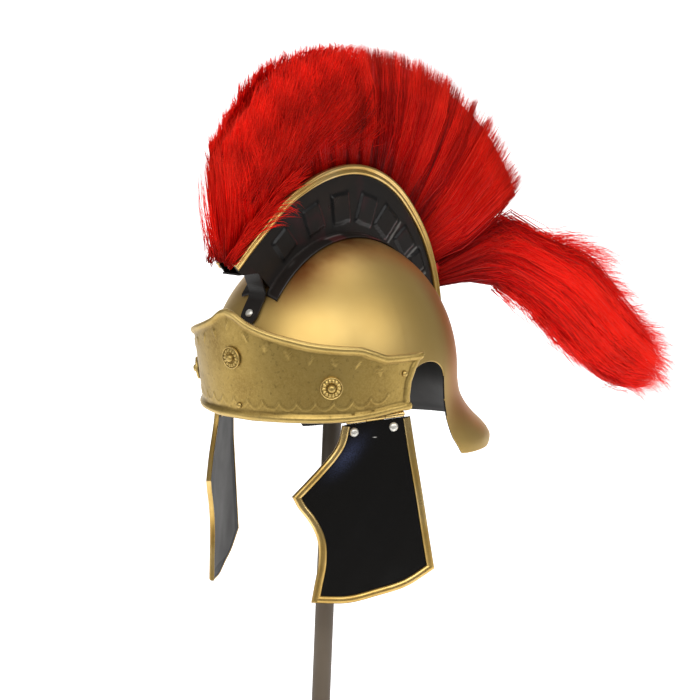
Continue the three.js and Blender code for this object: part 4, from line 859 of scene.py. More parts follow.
def make_trims():
    pts, outs = crest_at(np.linspace(0, 1, 160))
    x = CREST_HALF + GAP
    section = [(0, -1), (.35, -1.0), (.75, -.93), (.95, -.8), (.92, -.66), (.62, -.56), (.42, -.48), (.5, -.4),
               (.8, -.34), (1.0, -.24), (.98, -.12), (.75, -.03), (.4, 0)]
    rings = []
    for i, (p, o) in enumerate(zip(pts, outs)):
        share = i / (len(pts) - 1)
        high = TRIM_HEIGHT * (0.74 + 0.26 * math.sin(math.pi * min(1, share * 1.15)))
        ring = [(x + TRIM_THICK * a, *(p + o * high * b)) for a, b in section]
        ring += [(x - TRIM_THICK * 0.3, *p), (x - TRIM_THICK * 0.8, *p),
                 (x - TRIM_THICK * 0.8, *(p - o * TRIM_CAP)), (x, *(p - o * TRIM_CAP))]
        rings.append(ring)
    left = tube_loft(rings)
    make('crest_trim_left', *left, ROOT, 'gold_paint', trim_gold, sharp=50)
    make('crest_trim_right', *mirror_part(left), ROOT, 'gold_paint', trim_gold, sharp=50)


make_trims()

# Rivet in the front tab
z = foot[1] - 0.6 * TAB_LENGTH
p = front_of_bowl(z, SEAT + CREST_SHEET + GAP)
n = np.array([0, (p[0] - BOWL_Y) / BOWL_L ** 2, (z - BOWL_Z) / BOWL_RISE ** 2])
n /= np.linalg.norm(n)
t = np.array([1.0, 0, 0])
make('crest_rivet', *dome_part(np.array([0, p[0], p[1]]), t, np.cross(n, t), n, 4.0, 2.4), ROOT,
     'silver_rivet', silver, sharp=50)

# Cheek guards, built for the left side and mirrored
axis = np.array([math.sin(TOE) * math.cos(SLOPE), math.cos(TOE) * math.cos(SLOPE), math.sin(SLOPE)])
G_ALONG = np.array([math.sin(TOE), math.cos(TOE), 0])
G_OUT = np.array([math.cos(TOE), -math.sin(TOE), 0])
TOP_DROP = KNUCKLE_R + GAP
GUARD_COLUMNS = 26


def guard_point(along, down, out):
    along, down, out = np.broadcast_arrays(np.asarray(along, float), down, out)
    edge = GUARD_W / 2
    bow = GUARD_BOW * (1 - (along / edge) ** 2) * np.minimum(1, down / (GUARD_H * 0.3))
    z = along * math.tan(SLOPE) * np.maximum(0, 1 - down / GUARD_H) - down
    up = np.array([0, 0, 1.0])
    return HINGE + along[..., None] * G_ALONG + (out + bow)[..., None] * G_OUT + z[..., None] * up


def smooth_outline():
    """Outline as dense points; corners stay where the plate has them."""
    pts = np.array([(a * GUARD_W, TOP_DROP + d * GUARD_H) for _, a, d in GUARD_OUTLINE])
    corners = (0, 5, 12, 16, 20)
    runs = [centripetal(pts[a:b + 1], 10)[:-1] for a, b in zip(corners[:-1], corners[1:])]
    return np.concatenate([*runs, pts[-1:]])


outline = smooth_outline()


def offset_outline(inward):
    prev = np.vstack([outline[:1], outline[:-1]])
    nxt = np.vstack([outline[1:], outline[-1:]])
    d1, d2 = outline - prev, nxt - outline
    d1[0], d2[-1] = d2[0], d1[-1]
    n1 = np.stack([d1[:, 1], -d1[:, 0]], -1)
    n2 = np.stack([d2[:, 1], -d2[:, 0]], -1)
    n1 /= np.linalg.norm(n1, axis=1, keepdims=True)
    n2 /= np.linalg.norm(n2, axis=1, keepdims=True)
    b = n1 + n2
    b /= np.linalg.norm(b, axis=1, keepdims=True)
    m = inward / np.maximum(0.5, np.sum(b * n1, axis=1))
    return outline + b * m[:, None]


def guard_parts():
    edge = offset_outline(EDGE_WRAP + GAP * 0.5)
    edge[0, 1] = edge[-1, 1] = TOP_DROP
    low = edge[:, 1].argmax()
    front, rear = edge[:low + 1], edge[low:][::-1]
    downs = np.unique(np.concatenate([np.linspace(TOP_DROP, edge[low, 1] - 0.3, 120), front[:, 1], rear[:, 1]]))
    downs = downs[(downs >= TOP_DROP) & (downs <= edge[low, 1] - 0.3)]
    fo = np.argsort(front[:, 1], kind='stable')
    ro = np.argsort(rear[:, 1], kind='stable')
    a = np.interp(downs, front[fo, 1], front[fo, 0])
    b = np.maximum(a + 1, np.interp(downs, rear[ro, 1], rear[ro, 0]))
    cols = np.linspace(0, 1, GUARD_COLUMNS)
    al = a[:, None] + (b - a)[:, None] * cols
    dn = np.repeat(downs[:, None], len(cols), 1)
    rippled = 0.22 * np.sin(al * 0.09 + 1.0) * np.sin(dn * 0.055 + 0.6) + 0.1 * np.sin(al * 0.21 + dn * 0.13)
    plate = shell(guard_point(al, dn, GUARD_SHEET / 2 + rippled * 0.6),
                  guard_point(al, dn, -GUARD_SHEET / 2 + rippled * 0.6))
    face, back = GUARD_SHEET / 2 + SEAT, -GUARD_SHEET / 2
    section = [(EDGE_WIDTH, face - 0.1)]
    section += [(EDGE_WIDTH * a, face + EDGE_RAISE * b) for a, b in (
        (.97, .35), (.88, .66), (.72, .9), (.5, 1), (.3, .97), (.14, .78), (.04, .4))]
    section += [(0, face), (0, back), (EDGE_WRAP * .3, back - .5), (EDGE_WRAP - GAP, back - .4),
                (EDGE_WRAP - GAP, back), (EDGE_WRAP - GAP, face - 0.1)]
    loops = np.array([[*offset_outline(i).T, np.full(len(outline), o)] for i, o in section])
    return plate, tube_loft(guard_point(loops[:, 0].T, loops[:, 1].T, loops[:, 2].T))


plate, edging = guard_parts()
hx = axis
hy = np.cross(axis, [0, 0, 1.0])
hy /= np.linalg.norm(hy)
hz = np.cross(hx, hy)


def round_bar(a, b, radius, count=28, bevel=0.25):
    profile = [(radius - bevel, a), (radius, a + bevel), (radius, b - bevel), (radius - bevel, b)]
    return lathe(profile, count, hy, hz, hx, HINGE)


LEAF_SHEET = 1.2


def hinge_parts():
    third = HINGE_LEN / 3
    leaf = []

    def leaf_top(along, height, out):
        over = HINGE + axis * along
        deg = math.degrees(math.atan2(over[0] / BOWL_W, -(over[1] - BOWL_Y) / BOWL_L))
        return band_point(np.array([deg]), np.array([height]), out)[0]
    spans = [(a, a + third - GAP * 0.7) for a in (-HINGE_LEN / 2, third / 2 + GAP * 0.7)]
    for a, b in spans:
        leaf.append(round_bar(a, b, KNUCKLE_R))
    for a, b in spans:
        rings = []
        for al in np.linspace(a + 0.5, b - 0.5, 8):
            low = HINGE + axis * al + np.array([0, 0, KNUCKLE_R - 0.7])
            rings.append([low, leaf_top(al, -BAND_DROP + 16, -BAND_SHEET - SEAT),
                          leaf_top(al, -BAND_DROP + 16, -BAND_SHEET - SEAT - LEAF_SHEET), low - G_OUT * LEAF_SHEET])
        leaf.append(tube_loft(rings))
    face = -GUARD_SHEET / 2 - SEAT

    def flap(half, d0, d1):
        corners = ((d0, face), (d1, face), (d1, face - LEAF_SHEET), (d0, face - LEAF_SHEET))
        return tube_loft([[guard_point(al, *corner).reshape(3) for corner in corners]
                          for al in np.linspace(-half, half, 12)])
    strap = [round_bar(-third / 2 + GAP * 0.7, third / 2 - GAP * 0.7, KNUCKLE_R),
             flap(third * 0.48, KNUCKLE_R * 0.2, TOP_DROP + 5),
             flap(HINGE_LEN * 0.47, TOP_DROP + 1.2, TOP_DROP + 13)]
    pin = round_bar(-HINGE_LEN / 2 - 0.8, HINGE_LEN / 2 + 0.8, PIN_R, 16, 0.15)
    return join_parts(leaf), join_parts(strap), pin


def paint_guard(mesh, way):
    """Highlight, speck and inner border, and the dark inside; way is 1 on the left and -1 on the right."""
    mirror = np.array([way, 1, 1])
    at = vertex_places(mesh) * mirror
    al, down = (at - HINGE) @ G_ALONG, HINGE[2] - at[:, 2]
    across = (al + 27) * 0.72 + (down - 34) * 0.69
    along = (al + 27) * 0.69 - (down - 34) * 0.72
    mark = np.exp(-(across / 7) ** 2 - (along / 19) ** 2) * 0.8
    speck = (np.hypot(al + 2, down - 17.5) < 1.0) * 1.0
    index = np.arange(len(at))
    two_rows = 2 * GUARD_COLUMNS
    border = ((index % GUARD_COLUMNS >= GUARD_COLUMNS - 3) & (index < len(at) // two_rows * two_rows)) * 1.0
    border = np.maximum(border, down > GUARD_H - 8)
    paint(mesh, 'sheen_mark', np.stack([mark, speck, border, 1 + 0 * mark], -1))
    mesh.materials.append(guard_inside)
    out = Vector(G_OUT * mirror)
    mesh.polygons.foreach_set('material_index', [int(p.normal.dot(out) < -0.5) for p in mesh.polygons])


leaf, strap, pin = hinge_parts()
for side, way, flip in (('left', 1, lambda q: q), ('right', -1, mirror_part)):
    body = f'cheek_{side}'
    guard = make(f'cheek_guard_{side}', *flip(plate), body, 'black_paint', black, sharp=40)
    paint_guard(guard.data, way)
    make(f'cheek_edging_{side}', *flip(edging), body, 'bright_brass', bright, sharp=45)
    for where, al in (('front', -20.0), ('rear', 17.0)):
        o = guard_point(al, TOP_DROP + 7.5, GUARD_SHEET / 2 + SEAT * 0.4)
        dome = dome_part(o, G_ALONG, np.cross(G_OUT, G_ALONG), G_OUT, 4.3, 3.0)
        make(f'cheek_rivet_{where}_{side}', *flip(dome), body, 'silver_rivet', silver, sharp=50)
    for kind, part, carrier in (('leaf', leaf, ROOT), ('strap', strap, body), ('pin', pin, ROOT)):
        make(f'hinge_{kind}_{side}', *flip(part), carrier, 'bright_brass', bright, sharp=40)

# Stand
BASE_HEIGHT, POST_R = 10, 8.75
profile = [(104.0, 0), (105, 0.8), (105, 8.6), (104.6, 9.4)] + [(r, BASE_HEIGHT) for r in (103.6, 60, 10)]
make('stand_base', *lathe(profile, 160, *np.eye(3), np.zeros(3)), ROOT, 'stand_paint', stand)
ring_a = np.arange(64) * 2 * math.pi / 64
post_top = BOWL_Z + BOWL_RISE - BOWL_WALL - SEAT - 9 - GAP
rings = [[(POST_R * math.cos(a), (z - BASE_HEIGHT) * 0.06 + POST_R * math.sin(a), z) for a in ring_a]
         for z in (BASE_HEIGHT + GAP, 100, 200, 300, 400, post_top)]
make('stand_post', *tube_loft(rings), ROOT, 'stand_paint', stand)
pad_materials = nodes['stand_pad'].data.materials
pad_materials.clear()
pad_materials.append(stand)

# Horsehair
HAIR_SIDES = 3
HAIR_LIMIT = ((-152, 200), (551, 684))


def strands(name, paths, widths, tints, shade=None):
    """Closed tapered hairs: paths (count, steps, 3) in mm, widths and shade (count, steps), tints (count,)."""
    paths = np.clip(paths, [-200, *HAIR_LIMIT[0]], [200, *HAIR_LIMIT[1]])
    count, steps = paths.shape[:2]
    tangent = np.gradient(paths, axis=1)
    tangent /= np.maximum(np.linalg.norm(tangent, axis=2, keepdims=True), 1e-9)
    ref = np.tile(np.array([1.0, 0.02, 0.01]), (count, steps, 1))
    u = np.cross(tangent, ref)
    u /= np.maximum(np.linalg.norm(u, axis=2, keepdims=True), 1e-9)
    v = np.cross(tangent, u)
    spin = rng.uniform(0, 2 * math.pi, count)
    rings = []
    for k in range(HAIR_SIDES):
        a = spin + k * 2 * math.pi / HAIR_SIDES
        rings.append(paths + (np.cos(a)[:, None] * widths)[..., None] * u
                     + (np.sin(a)[:, None] * widths)[..., None] * v)
    rings = np.stack(rings, 2)[:, :-1]              # count, steps - 1, sides, 3
    tip = (steps - 1) * HAIR_SIDES
    per = tip + 1
    verts = np.concatenate([rings.reshape(count, tip, 3), paths[:, -1:]], 1).reshape(-1, 3) * MM
    local = [(2, 1, 0)]
    for k in range(HAIR_SIDES):
        m = (k + 1) % HAIR_SIDES
        for s in range(steps - 2):
            a, b = s * HAIR_SIDES + k, s * HAIR_SIDES + m
            local += [(a, b, b + HAIR_SIDES), (a, b + HAIR_SIDES, a + HAIR_SIDES)]
        local.append((tip - HAIR_SIDES + k, tip - HAIR_SIDES + m, tip))
    faces = (np.array(local)[None] + (np.arange(count) * per)[:, None, None]).reshape(-1, 3)
    mesh = bpy.data.meshes.new(name)
    mesh.vertices.add(len(verts))
    mesh.vertices.foreach_set('co', verts.ravel())
    mesh.loops.add(faces.size)
    mesh.loops.foreach_set('vertex_index', faces.ravel())
    mesh.polygons.add(len(faces))
    mesh.polygons.foreach_set('loop_start', np.arange(0, faces.size, 3))
    mesh.polygons.foreach_set('use_smooth', np.ones(len(faces), bool))
    mesh.update(calc_edges=True)
    step_of = np.append(np.repeat(np.arange(steps - 1), HAIR_SIDES), steps - 1)
    along = np.tile(step_of / (steps - 1), count)
    tone = np.ones((count, steps)) if shade is None else np.clip(shade, 0.05, 1.0)
    tone = np.broadcast_to(tone, (count, steps))[:, step_of]
    color = np.stack([np.repeat(tints, per), along, tone.ravel(), np.ones(count * per)], -1)
    paint(mesh, 'tint', color)
    mesh.materials.append(hair)
    obj = add_object(name, mesh)
    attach(obj, ROOT)


def taper(r, width, u, loss, power, count):
    """Half thickness along each hair, from its root to its tip."""
    return width * r.uniform(0.7, 1.3, count)[:, None] * (1 - loss * u ** power)


def fan_dir(t):
    lean = np.radians(smooth_table(t, PLUME_FAN, 1))
    return np.stack([np.sin(lean), np.cos(lean)], -1), smooth_table(t, PLUME_FAN, 2) * PLUME_LENGTH


def fan_half(t):
    return smooth_table(t, PLUME_FAN, 3) * PLUME_HALF


def clump_noise(t, freq, seed):
    r = np.random.default_rng(seed)
    n = int(freq) + 3
    values = r.normal(0, 1, n)
    x = t * freq
    i = np.floor(x).astype(int)
    f = x - i
    f = f * f * (3 - 2 * f)
    return values[i] * (1 - f) + values[i + 1] * f


# Outer line of the upright hair in side view, from the front root over the crown to the tail
HAIR_LINE = np.array([(-127, 484), (-134, 527), (-142, 566), (-143, 590), (-119, 600), (-114, 615), (-95, 625),
                      (-91, 645), (-50, 662), (7, 670), (60, 669), (111, 662), (153, 647), (191, 626), (231, 597),
                      (256, 569), (277, 542), (292, 514)], float)


def line_distance(points, line):
    """Distance from points to a polyline, and on which side they lie."""
    best = np.full(len(points), 1e9)
    side = np.zeros(len(points))
    for a, b in zip(line[:-1], line[1:]):
        ab = b - a
        t = np.clip(((points - a) @ ab) / (ab @ ab), 0, 1)
        d = points - a - t[:, None] * ab
        dist = np.hypot(d[:, 0], d[:, 1])
        cross = ab[0] * (points[:, 1] - a[1]) - ab[1] * (points[:, 0] - a[0])
        near = dist < best
        side[near] = np.sign(cross[near])
        best = np.minimum(best, dist)
    return best, side


def front_flow(points):
    """Direction of the front hair: it spreads from below the front root and sweeps back."""
    lean = np.arctan2(points[:, 0] + 138, points[:, 1] - 425)
    low = 1 - step(0, 70, line_distance(points, curve)[0])
    lean = lean * (0.78 + 0.3 * low)
    lean += 0.1 * np.sin(points[:, 0] * 0.06 + 1.7) + 0.08 * np.sin(points[:, 1] * 0.075 + points[:, 0] * 0.03)
    return np.stack([np.sin(lean), np.cos(lean)], -1)


def front_shade(yz):
    """The fluffy front is bright at its tips and dark in the valley behind it."""
    edge = line_distance(yz.reshape(-1, 2), HAIR_LINE)[0].reshape(yz.shape[:2])
    line = yz[..., 0] - 42 - (yz[..., 1] - 590) * 0.12
    valley = np.exp(-(line / 15) ** 2) * step(5, 45, edge)
    return 0.56 + 0.3 * (1 - step(0, 45, edge)) - 0.3 * valley


def side_of_hair(points, half):
    edge = line_distance(points, HAIR_LINE)[0]
    root = line_distance(points, curve)[0]
    tip = 0.5 + 0.5 * np.sqrt(np.clip(edge / 38, 0, 1))
    low = 0.42 + 0.58 * step(0, 45, root)
    return half * tip * low


def coat_hair(name, t0, t1, share, count, seed, length, width=0.5, steps=4, lift=4.0, out=5.0, tone=0.0):
    """Short overlapping hairs whose tips end over the side of the fan."""
    r = np.random.default_rng(seed)
    t = r.uniform(t0, t1, count)
    k = r.uniform(share[0], share[1], count)
    p, _ = crest_at(t)
    d, full = fan_dir(t)
    path = [p + d * (full * k)[:, None]]
    s = r.choice([-1, 1], count)
    reach = r.uniform(*length, count)
    turn = r.normal(0, 0.17, count)
    c, n = np.cos(turn), np.sin(turn)
    fine = 20
    for q in range(fine):
        f = front_flow(path[-1])
        f = np.stack([f[:, 0] * c - f[:, 1] * n, f[:, 0] * n + f[:, 1] * c], -1)
        path.append(path[-1] + f * (reach / fine)[:, None])
    path = np.stack(path, 1)
    over = r.uniform(-4, out, count)
    end = np.full(count, fine)
    for q in range(fine, 0, -1):
        dist, side = line_distance(path[:, q], HAIR_LINE)
        beyond = np.where(side > 0, dist, -dist)
        end = np.where(beyond > over, q - 1, end)
    keep = end >= 6
    path, s, end, t = path[keep], s[keep], end[keep], t[keep]
    count = len(path)
    u = np.linspace(0, 1, steps)
    at = u[None, :] * end[:, None]
    low = np.floor(at).astype(int)
    high = np.minimum(low + 1, fine)
    f = (at - low)[..., None]
    rows = np.arange(count)[:, None]
    yz = path[rows, low] * (1 - f) + path[rows, high] * f
    half = fan_half(t)
    x = np.stack([side_of_hair(yz[:, q], half) for q in range(steps)], 1)
    raise_ = r.uniform(0.4, 1.0, count)[:, None] * lift
    x = x - 1.0 + raise_ * u[None, :] ** 1.2
    x = s[:, None] * x + r.normal(0, 0.4, count)[:, None]
    path = np.concatenate([x[..., None], yz], -1)
    w = taper(r, width, u, 0.72, 1.8, count)
    patch = np.sin(yz[:, 0, 0] * 0.11 + 2) * np.sin(yz[:, 0, 1] * 0.13 + yz[:, 0, 0] * 0.05)
    tints = np.clip(0.42 + tone + 0.22 * patch + 0.3 * r.uniform(-1, 1, count), 0, 1)
    shade = front_shade(yz) * (1 + 0.22 * patch + 0.22 * r.uniform(-1, 1, count))[:, None]
    return strands(name, path, w, tints, shade)


def fan_hair(name, t0, t1, count, seed, reach=(0.9, 1.0), outer=0.9, jitter=2.5, width=0.57, steps=4, ridge=1.3,
             tone=0.0):
    """Combed hairs from the channel to the outer line."""
    r = np.random.default_rng(seed)
    t = r.uniform(t0, t1, count)
    p, o = crest_at(t)
    d, length = fan_dir(t)
    s = r.choice([-1, 1], count)
    depth = np.where(r.uniform(0, 1, count) < 0.85, r.uniform(outer, 1, count), r.uniform(0, 1, count))
    reach_s = r.uniform(reach[0], reach[1], count)
    lean = r.normal(0, jitter, count) + 1.6 * clump_noise(t, 60, 91)
    c, sn = np.cos(np.radians(lean)), np.sin(np.radians(lean))
    dd = np.stack([d[:, 0] * c + d[:, 1] * sn, d[:, 1] * c - d[:, 0] * sn], -1)
    u = np.linspace(0, 1, steps)[None, :]
    along = np.clip(u * reach_s[:, None], 0, 1.1)
    base = p + o * -3.0
    bend = r.normal(0, 0.035, count) * length
    yz = base[:, None, :] + dd[:, None, :] * (u * (length * reach_s + 3)[:, None])[..., None]
    perp = np.stack([dd[:, 1], -dd[:, 0]], -1)
    yz += perp[:, None, :] * (np.sin(u * math.pi) * bend[:, None])[..., None]
    half = fan_half(t)
    x = np.stack([side_of_hair(yz[:, q], half) for q in range(steps)], 1)
    fold = clump_noise(t, 80, 77) * ridge
    x = s[:, None] * (depth[:, None] * x + fold[:, None] * np.sin(along * 2.4))
    x = x + r.normal(0, 0.6, count)[:, None] * u
    path = np.concatenate([x[..., None], yz], -1)
    w = taper(r, width, u, 0.55, 2, count)
    clump = np.tanh(1.2 * clump_noise(t, 80, 77) + 0.8 * clump_noise(t, 170, 78))
    tints = np.clip(0.45 + tone + 0.25 * clump + 0.28 * r.uniform(-1, 1, count), 0, 1)
    if t1 <= FAN_SPLIT:
        shade = front_shade(yz)
    else:
        edge = line_distance(yz.reshape(-1, 2), HAIR_LINE)[0].reshape(yz.shape[:2])
        late = step(0.7, 0.87, t)[:, None]
        shade = 0.44 + 0.06 * late + (0.3 + 0.26 * late) * (1 - step(0, 34, edge))
    shade = shade * (1 + 0.3 * clump + 0.2 * r.uniform(-1, 1, count))[:, None]
    return strands(name, path, w, tints, shade)


def core_fan(name, t0, t1, replaced):
    ts = np.linspace(t0, t1, 60)
    p, o = crest_at(ts)
    d, length = fan_dir(ts)
    us = np.linspace(0, 0.89, 26)
    yz = (p - o * 6)[:, None, :] + d[:, None, :] * (us[None, :] * (length + 6)[:, None])[..., None]
    half = side_of_hair(yz.reshape(-1, 2), np.repeat(fan_half(ts), len(us))).reshape(len(ts), len(us)) - 2.2
    half = np.clip(half, 1.5, 40)
    half[:, :4] = np.minimum(half[:, :4], 7.5)
    right = np.concatenate([half[..., None], yz], -1)
    left = right * np.array([-1, 1, 1])
    make(name, *shell(right, left, round_edge=0.5), ROOT, 'horsehair', core, replaced, sharp=60)


def tail_sections(u):
    """Upper and lower edge and half thickness of the tail along its length."""
    k = np.linspace(0, 1, len(TAIL))
    cols = [smooth_table(u, np.column_stack([k, TAIL[:, c]]), 1) for c in range(5)]
    end = crest_at(1.0)[0][0]
    top = np.stack([end[0] + cols[0] * TAIL_LENGTH, end[1] + cols[1] * TAIL_LENGTH], -1)
    low = np.stack([end[0] + cols[2] * TAIL_LENGTH, end[1] + cols[3] * TAIL_LENGTH], -1)
    return top, low, cols[4] * TAIL_HALF


def core_tail():
    us = np.linspace(0.0, 0.84, 50)
    top, low, thick = tail_sections(us)
    vs = np.linspace(0.2, 0.93, 16)
    half = thick[:, None] * 0.72 * np.sqrt(np.clip(1 - (2 * vs[None, :] - 1) ** 2 * 0.85, 0.02, 1))
    yz = top[:, None, :] + (low - top)[:, None, :] * vs[None, :, None]
    right = np.concatenate([half[..., None], yz], -1)
    left = right * np.array([-1, 1, 1])
    make('hair_core_tail', *shell(right, left, round_edge=0.4), ROOT, 'horsehair', core, ['plume_tail'], sharp=60)


def tail_hair(name, count, seed, start=(0.0, 0.25), length=(0.5, 0.8), width=0.62, steps=6, over=0.04, stray=1.2,
              tone=0.0):
    r = np.random.default_rng(seed)
    u0 = r.uniform(*start, count)
    u1 = np.minimum(u0 + r.uniform(*length, count), 1.0 + r.uniform(-0.06, over, count))
    v0 = 1 - (0.97 - 0.17 * step(0.2, 0.45, u0 + 0.5 * (u1 - u0))) * r.uniform(0.0, 1.0, count) ** 1.1
    v1 = np.clip(v0 + r.normal(0, 0.08, count), -0.03, 1.03)
    upper = np.clip(1 - v0 / 0.3, 0, 1) * (u1 > 0.45)
    u1 = np.maximum(u0 + 0.15, u1 - 0.3 * upper * r.uniform(0, 1, count))
    s = r.choice([-1, 1], count)
    depth = np.where(r.uniform(0, 1, count) < 0.85, r.uniform(0.9, 1.0, count), r.uniform(0, 1, count))
    path = []
    for k in range(steps):
        f = k / (steps - 1)
        u = u0 + (u1 - u0) * f
        v = v0 + (v1 - v0) * f
        top, low, thick = tail_sections(np.clip(u, 0, 1))
        yz = top + (low - top) * v[:, None]
        beyond = np.clip(u - 1, 0, 1)
        yz = yz + np.stack([0.72 * beyond, -0.55 * beyond], -1) * TAIL_LENGTH
        fold = 1.2 * clump_noise(np.clip(v, 0, 1), 22, 55)
        x = s * (depth * thick * np.sqrt(np.clip(1 - (2 * v - 1) ** 2 * 0.9, 0.02, 1)) + fold * (0.3 + 0.7 * f))
        path.append(np.concatenate([x[:, None], yz], -1))
    path = np.stack(path, 1)
    f = np.linspace(0, 1, steps)[None, :]
    wob = r.normal(0, stray, (count, 3)) * (1 + 2.5 * upper)[:, None]
    path[..., 0] += 0.5 * wob[:, 2:] * f
    path[..., 1] += wob[:, :1] * np.sin(f * math.pi * 1.3)
    path[..., 2] += wob[:, 1:2] * np.sin(f * math.pi * 1.1)
    w = taper(r, width, f, 0.8, 1.6, count)
    clump = np.tanh(clump_noise(v0, 22, 55) + 0.7 * clump_noise(v0, 60, 56))
    tints = np.clip(0.45 + tone + 0.25 * clump + 0.28 * r.uniform(-1, 1, count), 0, 1)
    u = u0[:, None] + (u1 - u0)[:, None] * f
    shade = 0.46 + 0.36 * step(0.18, 0.38, u) + 0.3 * step(0.5, 0.9, u)
    shade = shade * (1 + 0.25 * clump + 0.18 * r.uniform(-1, 1, count))[:, None]
    return strands(name, path, w, tints, shade)


def loose_hair(name, roots, ends, bow, count, seed, spread=4.0, width=0.34, steps=5):
    """Stray hairs from rows of (x, y, z) roots to rows of tips, with a bow."""
    r = np.random.default_rng(seed)
    k = r.integers(0, min(len(roots), len(ends)), count)
    a = np.asarray(roots, float)[k] + r.normal(0, 1, (count, 3)) * np.array([spread * 0.4, spread, spread])
    b = np.asarray(ends, float)[k]
    b = b + r.normal(0, 1, (count, 3)) * np.array([spread * 0.8, spread * 1.3, spread * 1.3])
    c = np.asarray(bow, float) * r.uniform(0.2, 1.4, (count, 1))
    u = np.linspace(0, 1, steps)[None, :, None]
    path = a[:, None] * (1 - u) + b[:, None] * u + c[:, None] * 4 * u * (1 - u)
    w = width * r.uniform(0.7, 1.2, count)[:, None] * (1 - 0.85 * u[..., 0] ** 1.5)
    return strands(name, path, w, np.clip(r.uniform(0.4, 1.0, count), 0, 1))


def face_hair(name, t0, t1, count, seed, width=0.5, steps=4):
    """Upright hairs over the front face of the fan."""
    r = np.random.default_rng(seed)
    t = r.uniform(t0, t1, count)
    p, _ = crest_at(t)
    d, length = fan_dir(t)
    lean = np.arctan2(d[:, 0], d[:, 1]) * (0.5 if t0 == 0 else 0.92) + np.radians(r.normal(0, 3.5, count))
    reach = r.choice([0.45, 0.62, 0.8, 0.94, 1.0], count, p=[.12, .18, .2, .3, .2]) * length
    reach = reach * r.uniform(0.85, 1.05, count)
    u = np.linspace(0, 1, steps)[None, :]
    side = r.uniform(-1, 1, count)
    y = p[:, :1] - 3 - r.uniform(0, 5, (count, 1)) + np.sin(lean)[:, None] * reach[:, None] * u
    z = p[:, 1:] + 2 + np.cos(lean)[:, None] * reach[:, None] * u
    x = side[:, None] * (7 + 6.5 * np.sin(np.clip(u * 1.2, 0, 1) * math.pi / 2))
    x = x + r.normal(0, 1.4, (count, 1)) * u ** 2
    path = np.stack([x, y, z], -1)
    w = taper(r, width, u, 0.85, 1.5, count)
    shade = (0.52 + 0.3 * u) * (1 + 0.25 * r.uniform(-1, 1, count))[:, None]
    return strands(name, path, w, np.clip(r.uniform(0.1, 0.9, count), 0, 1), shade)


def skirt_hair(name, t0, t1, count, seed, width=0.42, steps=4):
    """Hairs from the front that lie over the trim and point up and back."""
    r = np.random.default_rng(seed)
    t = t0 + (t1 - t0) * r.uniform(0, 1, count) ** 1.3
    p, o = crest_at(t)
    along = np.stack([o[:, 1], -o[:, 0]], -1)
    s = r.choice([-1, 1], count)
    reach = r.uniform(16, 34, count)
    drop = r.uniform(-0.24, 0.34, count)
    start = p + o * r.uniform(2, 13, (count, 1)) - along * 8
    u = np.linspace(0, 1, steps)[None, :]
    yz = start[:, None, :] + along[:, None, :] * (u * reach[:, None])[..., None]
    yz += o[:, None, :] * (u * (drop * reach)[:, None] + 2.0 * np.sin(u * math.pi))[..., None]
    x = s[:, None] * (11.5 + 4.6 * np.sin(u * math.pi / 2) + r.uniform(-0.6, 1.0, (count, 1)))
    path = np.concatenate([x[..., None], yz], -1)
    w = taper(r, width, u, 0.8, 1.5, count)
    shade = (0.5 + 0.24 * u) * (1 + 0.22 * r.uniform(-1, 1, count))[:, None]
    return strands(name, path, w, np.clip(r.uniform(0.2, 0.9, count), 0, 1), shade)


dense = 1.0


def hairs(number):
    return int(number * dense)


core_fan('hair_core_front', 0.0, FAN_SPLIT, ['plume_front'])
core_fan('hair_core_back', FAN_SPLIT, FAN_END, ['plume_back'])
core_tail()
fan_hair('hair_front_long', 0.0, FAN_SPLIT, hairs(2600), 21, (0.85, 1.0), 0.9, 3.0, tone=-0.15)
coat_hair('hair_front_low', 0.0, 0.45, (0.0, 0.45), hairs(3200), 22, (30, 64), 0.48, 5, 5.0, tone=-0.08)
coat_hair('hair_front_mid', 0.0, 0.46, (0.3, 0.8), hairs(4600), 27, (20, 44), 0.45, 4, 6.0)
coat_hair('hair_front_tip', 0.0, 0.5, (0.62, 0.98), hairs(4600), 28, (16, 34), 0.43, 4, 5.0, 7.0, 0.08)
skirt_hair('hair_front_skirt', 0.0, 0.27, hairs(620), 36)
face_hair('hair_front_face', 0.0, 0.05, hairs(1400), 29)
face_hair('hair_front_step', 0.05, 0.17, hairs(1300), 30)
fan_hair('hair_back_long', FAN_SPLIT - 0.01, FAN_END, hairs(5600), 23, (0.96, 1.05), 0.9, 1.0)
fan_hair('hair_back_short', FAN_SPLIT - 0.01, FAN_END, hairs(2300), 24, (0.5, 1.04), 0.96, 1.6, 0.5, 4)
tail_hair('hair_tail_long', hairs(3150), 25)
tail_hair('hair_tail_short', hairs(2400), 26, (0.2, 0.85), (0.16, 0.36), 0.46, 5, 0.05, 2.5, 0.25)

loose_hair('hair_wisps_trim', [(12, -99, 509), (12, -91, 514), (12, -81, 522), (12, -73, 528)],
           [(14.5, -63, 517), (14.5, -52, 519), (14.5, -42, 525), (14.5, -36, 526)], (2, 0, 6), 38, 31, 3.4, 0.34)
loose_hair('hair_wisps_trim_far', [(-12, -99, 509), (-12, -91, 514), (-12, -81, 522)],
           [(-14.5, -63, 517), (-14.5, -52, 519), (-14.5, -42, 525)], (-2, 0, 6), 34, 32, 3.4, 0.34)
